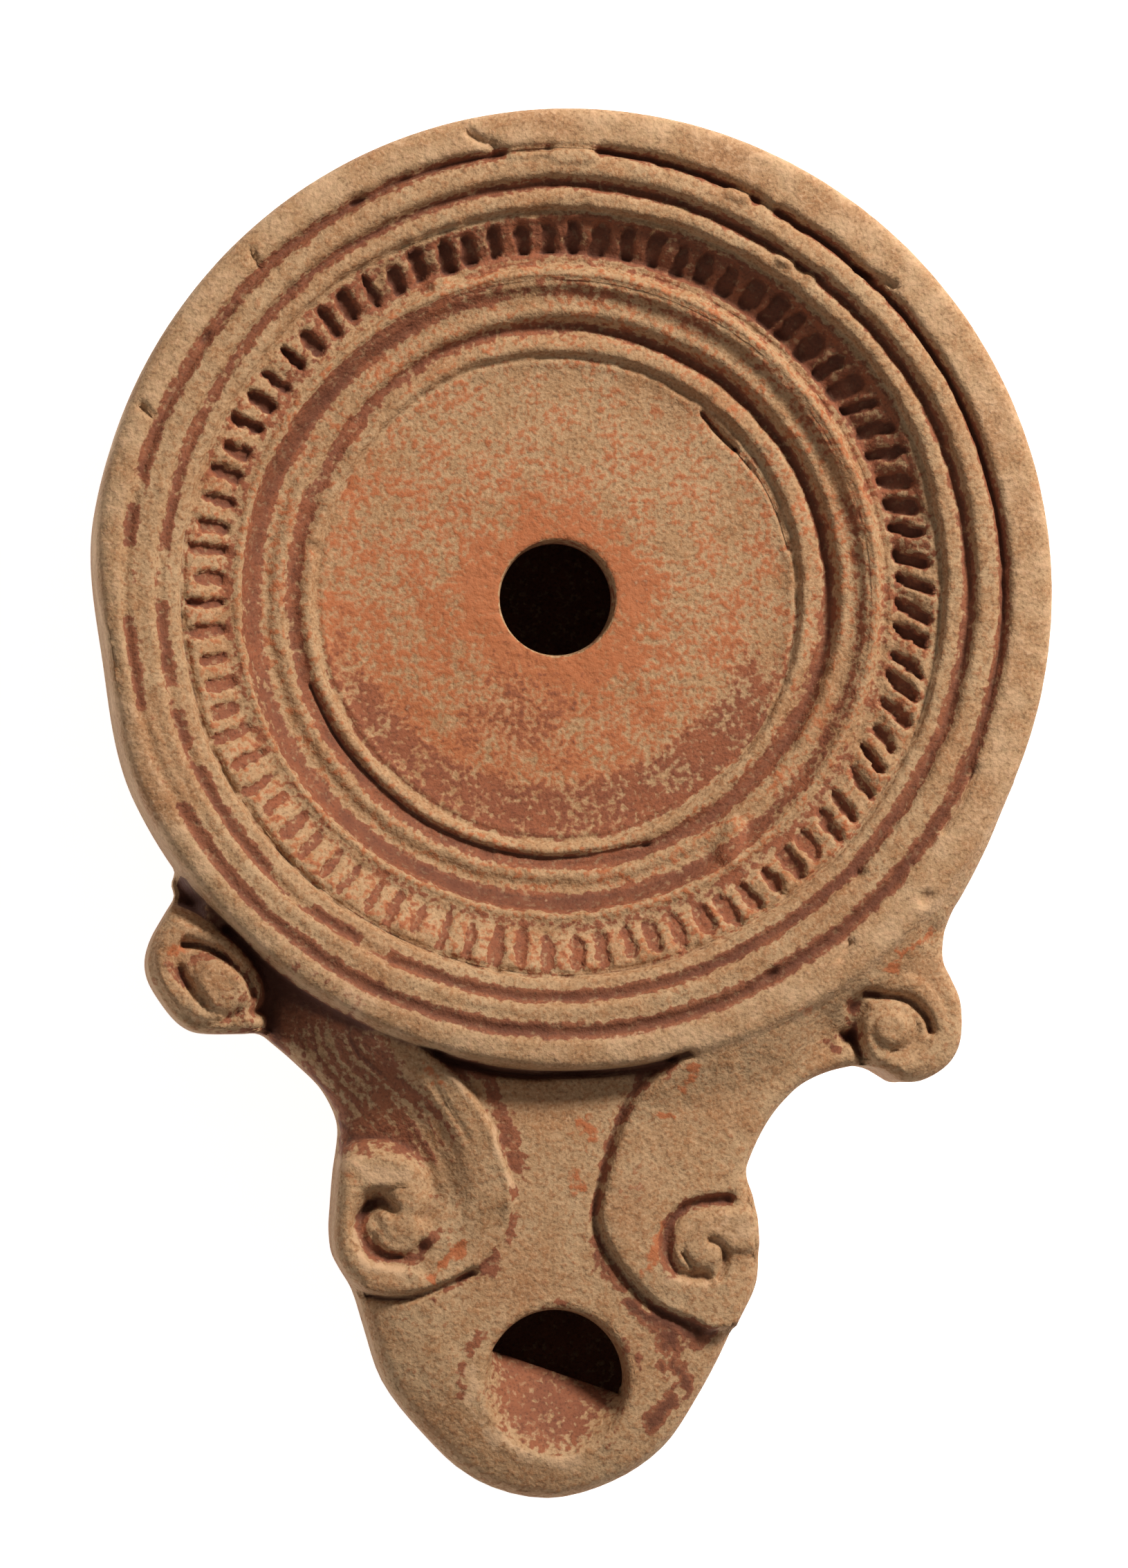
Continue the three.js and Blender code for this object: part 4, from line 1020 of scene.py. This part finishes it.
def paintShare(kind, x, y):
    # the strokes of one paint, with ragged borders and bare flecks
    share = np.zeros(len(x))
    px, py = (axis + 0.55 * layeredNoise(x, y, 1.2, seed) for axis, seed in ((x, 91), (y, 97)))
    for half, amount, line in paint[kind]:
        share = np.maximum(share, amount * strokeShare(px, py, half, curveThrough(line, 6)))
    return share * (1 - 2.4 * np.clip(layeredNoise(x, y, 0.9, 55) - 0.14, 0, 0.4))


def slipAndShadeShare(x, y):
    # slip in the grooves, between the tongues, round the filling hole and in a crescent at the panel's edge,
    # with painted shade given as slip on the tongue band's shaded side and in the left volute's trough
    along, clock = ringPlace(x, y)
    share = paintShare("slip", x, y)
    for groove in body["grooves"]:
        left = byClock(clock, groove["slip"])
        share = np.maximum(share, left * np.exp(-((along - groove["at"]) / (groove["width"] + 0.1)) ** 4))
    for half, rise, line in body["flaws"]:
        if rise > 0:   # clay that fills a groove carries no slip
            share = share * (1 - strokeShare(x, y, half, clockLine(line)))
    band = smoothStep(24.8, 25.2, along) * smoothStep(28.3, 27.9, along)
    gaps = wearAndShade["gapSlip"] * tongueGaps(along, clock)[0]
    # the tongue band's slip, heavier on the key lamp's side as painted shade
    share = np.maximum(share, band * (byClock(clock, body["bandSlipAndShade"]) + gaps))
    cavetto = smoothStep(21.9, 22.6, along) * smoothStep(24, 23.4, along)
    share = np.maximum(share, byClock(clock, body["cavettoSlip"]) * cavetto)
    # the left volute's trough: streaky slip, made heavy as painted shade where the neck lies in the
    # shoulder's shadow and faces away from the key lamp
    streak, across, within = streaks(volutes[0], x, y)[:3]
    trough = within * smoothStep(0.12, 0.35, across) * smoothStep(*wearAndShade["troughEnds"], y)
    left, streaky = wearAndShade["trough"]
    share = np.maximum(share, trough * (left + streaky * streak))
    left, (cx, cy), start, full = wearAndShade["crescent"]
    towardsNozzle = -np.cos(np.radians(clock))
    low = smoothStep(start, full, np.hypot(x - cx, y - cy)) * smoothStep(-0.1, 0.6, towardsNozzle)
    share = np.maximum(share, left * low * (along < 18.2))
    left, (cx, cy), size = wearAndShade["patch"]
    return np.maximum(share, left * np.exp(-((x - cx) ** 2 + (y - cy) ** 2) / size) * (along < 18))


def orangeShare(x, y):
    # the panel is burnt orange, most round the filling hole and towards the nozzle
    radius = np.hypot(x, y)
    rim = np.exp(-((radius - 4.2) / 3.2) ** 2)
    low = 0.5 - 0.5 * y / 18
    amount = (wearAndShade["panelOrange"] + wearAndShade["rimOrange"] * rim + wearAndShade["lowOrange"] * low
              - wearAndShade["leftOrange"] * x / 18)
    panel = smoothStep(18.4, 17.8, radius) * amount
    rings = smoothStep(18.4, 19, radius) * smoothStep(28.5, 28, radius) * wearAndShade["ringOrange"]
    return np.maximum(paintShare("orange", x, y), panel + rings)


# relief: height above the smoothed surface; high places lose slip, and deep places get painted shade in the
# shader
relief = points[:, 2] - smoothedOver(points[:, 2], triangles, 14)
relief[topCount:] = 0
outer = np.arange(len(points)) < outerCount
x, y, z = points.T
upper = outer & (z > body["seam"] + 0.8)
fromWick = np.hypot(x - nozzle["wickHole"][0], y - nozzle["wickHole"][1])
worn = smoothStep(3.6, 5.1, fromWick) * (z > nozzle["ledgeHeight"] - 0.5)
underSlip = wearAndShade["underSlip"] * smoothStep(body["seam"] + 4, body["seam"] - 4, z)
slip = np.where(outer, underSlip, wearAndShade["insideSlip"] - wearAndShade["ledgeBare"] * worn)
slip[upper] = np.maximum(slip[upper], slipAndShadeShare(x[upper], y[upper]))
orange, pale = np.zeros(len(points)), np.zeros(len(points))
orange[upper] = orangeShare(x[upper], y[upper])
shoulder = smoothStep(32.9, 33.4, ringPlace(x[upper], y[upper])[0]) * (bodyDepth(x[upper], y[upper]) > 0)
rubbed = wearAndShade["shoulderPale"] * shoulder * smoothStep(body["seam"] + 1, body["seam"] + 7, z[upper])
pale[upper] = np.maximum(paintShare("pale", x[upper], y[upper]), rubbed)
for name, values in (("relief", relief), ("slip", slip), ("orange", orange), ("pale", pale)):
    addAttribute(mesh, name, values)
lamp = bpy.data.objects.new("lampBody", mesh)
bpy.context.scene.collection.objects.link(lamp)
print("paint ready")


def colour(code):
    # screen colour code to the shader's linear values
    parts = [int(code[i: i + 2], 16) / 255 for i in (0, 2, 4)]
    return (*[p / 12.92 if p <= 0.04045 else ((p + 0.055) / 1.055) ** 2.4 for p in parts], 1)


# Screen colours of the clay and of what is left of its slip; the darkest slip colour also serves as painted
# shade in recesses
finish = {
    "clay": "a9815b", "sand": "b4916c", "ochre": "9c6841", "speck": "68452d", "orange": "ad6038",
    "pale": "c69f7a", "slip": "7f4731", "rust": "8f5236", "darkSlipAndShade": "532f22",
}


def clayMaterial(tones):
    # clay with a mottle and specks, orange where it burnt so, slip where it is kept, pale where it is worn,
    # and painted shade in deep places
    material = bpy.data.materials.new("worn terracotta with painted shade")
    material.use_nodes = True
    nodes, links = material.node_tree.nodes, material.node_tree.links
    shader = nodes["Principled BSDF"]

    def node(kind, **settings):
        made = nodes.new(kind)
        for name, value in settings.items():
            setattr(made, name, value)
        return made

    place = node("ShaderNodeTexCoord")

    def grain(size, detail, distortion=0.0):
        made = node("ShaderNodeTexNoise")
        made.inputs["Scale"].default_value = 1 / (size * mm)
        made.inputs["Detail"].default_value = detail
        made.inputs["Distortion"].default_value = distortion
        links.new(place.outputs["Object"], made.inputs["Vector"])
        return made.outputs["Fac"]

    def spread(value, low, high, outLow=0.0, outHigh=1.0):
        made = node("ShaderNodeMapRange")
        for name, number in (("From Min", low), ("From Max", high), ("To Min", outLow), ("To Max", outHigh)):
            made.inputs[name].default_value = number
        links.new(value, made.inputs["Value"])
        return made.outputs["Result"]

    def combine(operation, a, b):
        made = node("ShaderNodeMath", operation=operation)
        for socket, value in zip(made.inputs, (a, b)):
            if isinstance(value, (int, float)):
                socket.default_value = value
            else:
                links.new(value, socket)
        return made.outputs["Value"]

    def blend(amount, a, b):
        made = node("ShaderNodeMix", data_type="RGBA")
        links.new(amount, made.inputs["Factor"])
        for socket, value in ((made.inputs["A"], a), (made.inputs["B"], b)):
            if isinstance(value, str):
                socket.default_value = colour(tones[value])
            else:
                links.new(value, socket)
        return made.outputs["Result"]

    def share(name):
        return node("ShaderNodeAttribute", attribute_name=name).outputs["Fac"]

    def broken(value, strength):
        # a share with ragged borders: the mottle and the specks move its edge about
        ragged = combine("ADD", combine("MULTIPLY", combine("SUBTRACT", mottle, 0.5), 1.1),
                         combine("MULTIPLY", combine("SUBTRACT", speck, 0.5), 1.4))
        return combine("ADD", value, combine("MULTIPLY", ragged, strength))

    relief = share("relief")
    cloud, mottle, speck, sand = grain(6, 3), grain(2.4, 4), grain(0.5, 3), grain(0.24, 2)
    tone = blend(spread(mottle, 0.35, 0.65), "clay", "sand")
    tone = blend(spread(cloud, 0.5, 0.7, 0, 0.5), tone, "ochre")
    tone = blend(spread(speck, 0.5, 0.6, 0, 0.55), tone, "ochre")
    tone = blend(spread(sand, 0.55, 0.68, 0, 0.5), tone, "speck")
    tone = blend(spread(sand, 0.45, 0.34, 0, 0.5), tone, "pale")
    tone = blend(spread(broken(share("orange"), 0.9), 0.3, 0.6, 0, 0.85), tone, "orange")
    # high places have lost their slip, low places keep it
    kept = combine("SUBTRACT", share("slip"), combine("MULTIPLY", relief, 0.5))
    red = blend(spread(mottle, 0.38, 0.62), "slip", "rust")
    red = blend(spread(sand, 0.5, 0.68, 0, 0.5), red, "darkSlipAndShade")
    red = blend(spread(speck, 0.43, 0.33, 0, 0.45), red, "sand")
    tone = blend(spread(broken(kept, 1.1), 0.34, 0.58, 0, 0.92), tone, red)
    # heavy slip and deep places turn to the darkest slip colour: dark slip, and painted shade in recesses and
    # in the shaded tongue band
    tone = blend(spread(kept, 0.8, 1.15, 0, 0.6), tone, "darkSlipAndShade")
    tone = blend(spread(broken(share("pale"), 0.9), 0.35, 0.6, 0, 0.8), tone, "pale")
    # painted shade: the deepest recesses darken towards the darkest slip colour
    tone = blend(spread(relief, -0.25, -0.7, 0, 0.8), tone, "darkSlipAndShade")
    links.new(tone, shader.inputs["Base Color"])
    shader.inputs["Roughness"].default_value = 0.8
    shader.inputs["Specular IOR Level"].default_value = 0.25
    bump = node("ShaderNodeBump")
    bump.inputs["Strength"].default_value = 1.0
    bump.inputs["Distance"].default_value = 0.12 * mm
    links.new(combine("ADD", combine("MULTIPLY", sand, 0.5), speck), bump.inputs["Height"])
    links.new(bump.outputs["Normal"], shader.inputs["Normal"])
    return material


mesh.materials.append(clayMaterial(finish))
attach(lamp, "root")
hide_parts("lamp_body")
print("lamp ready")
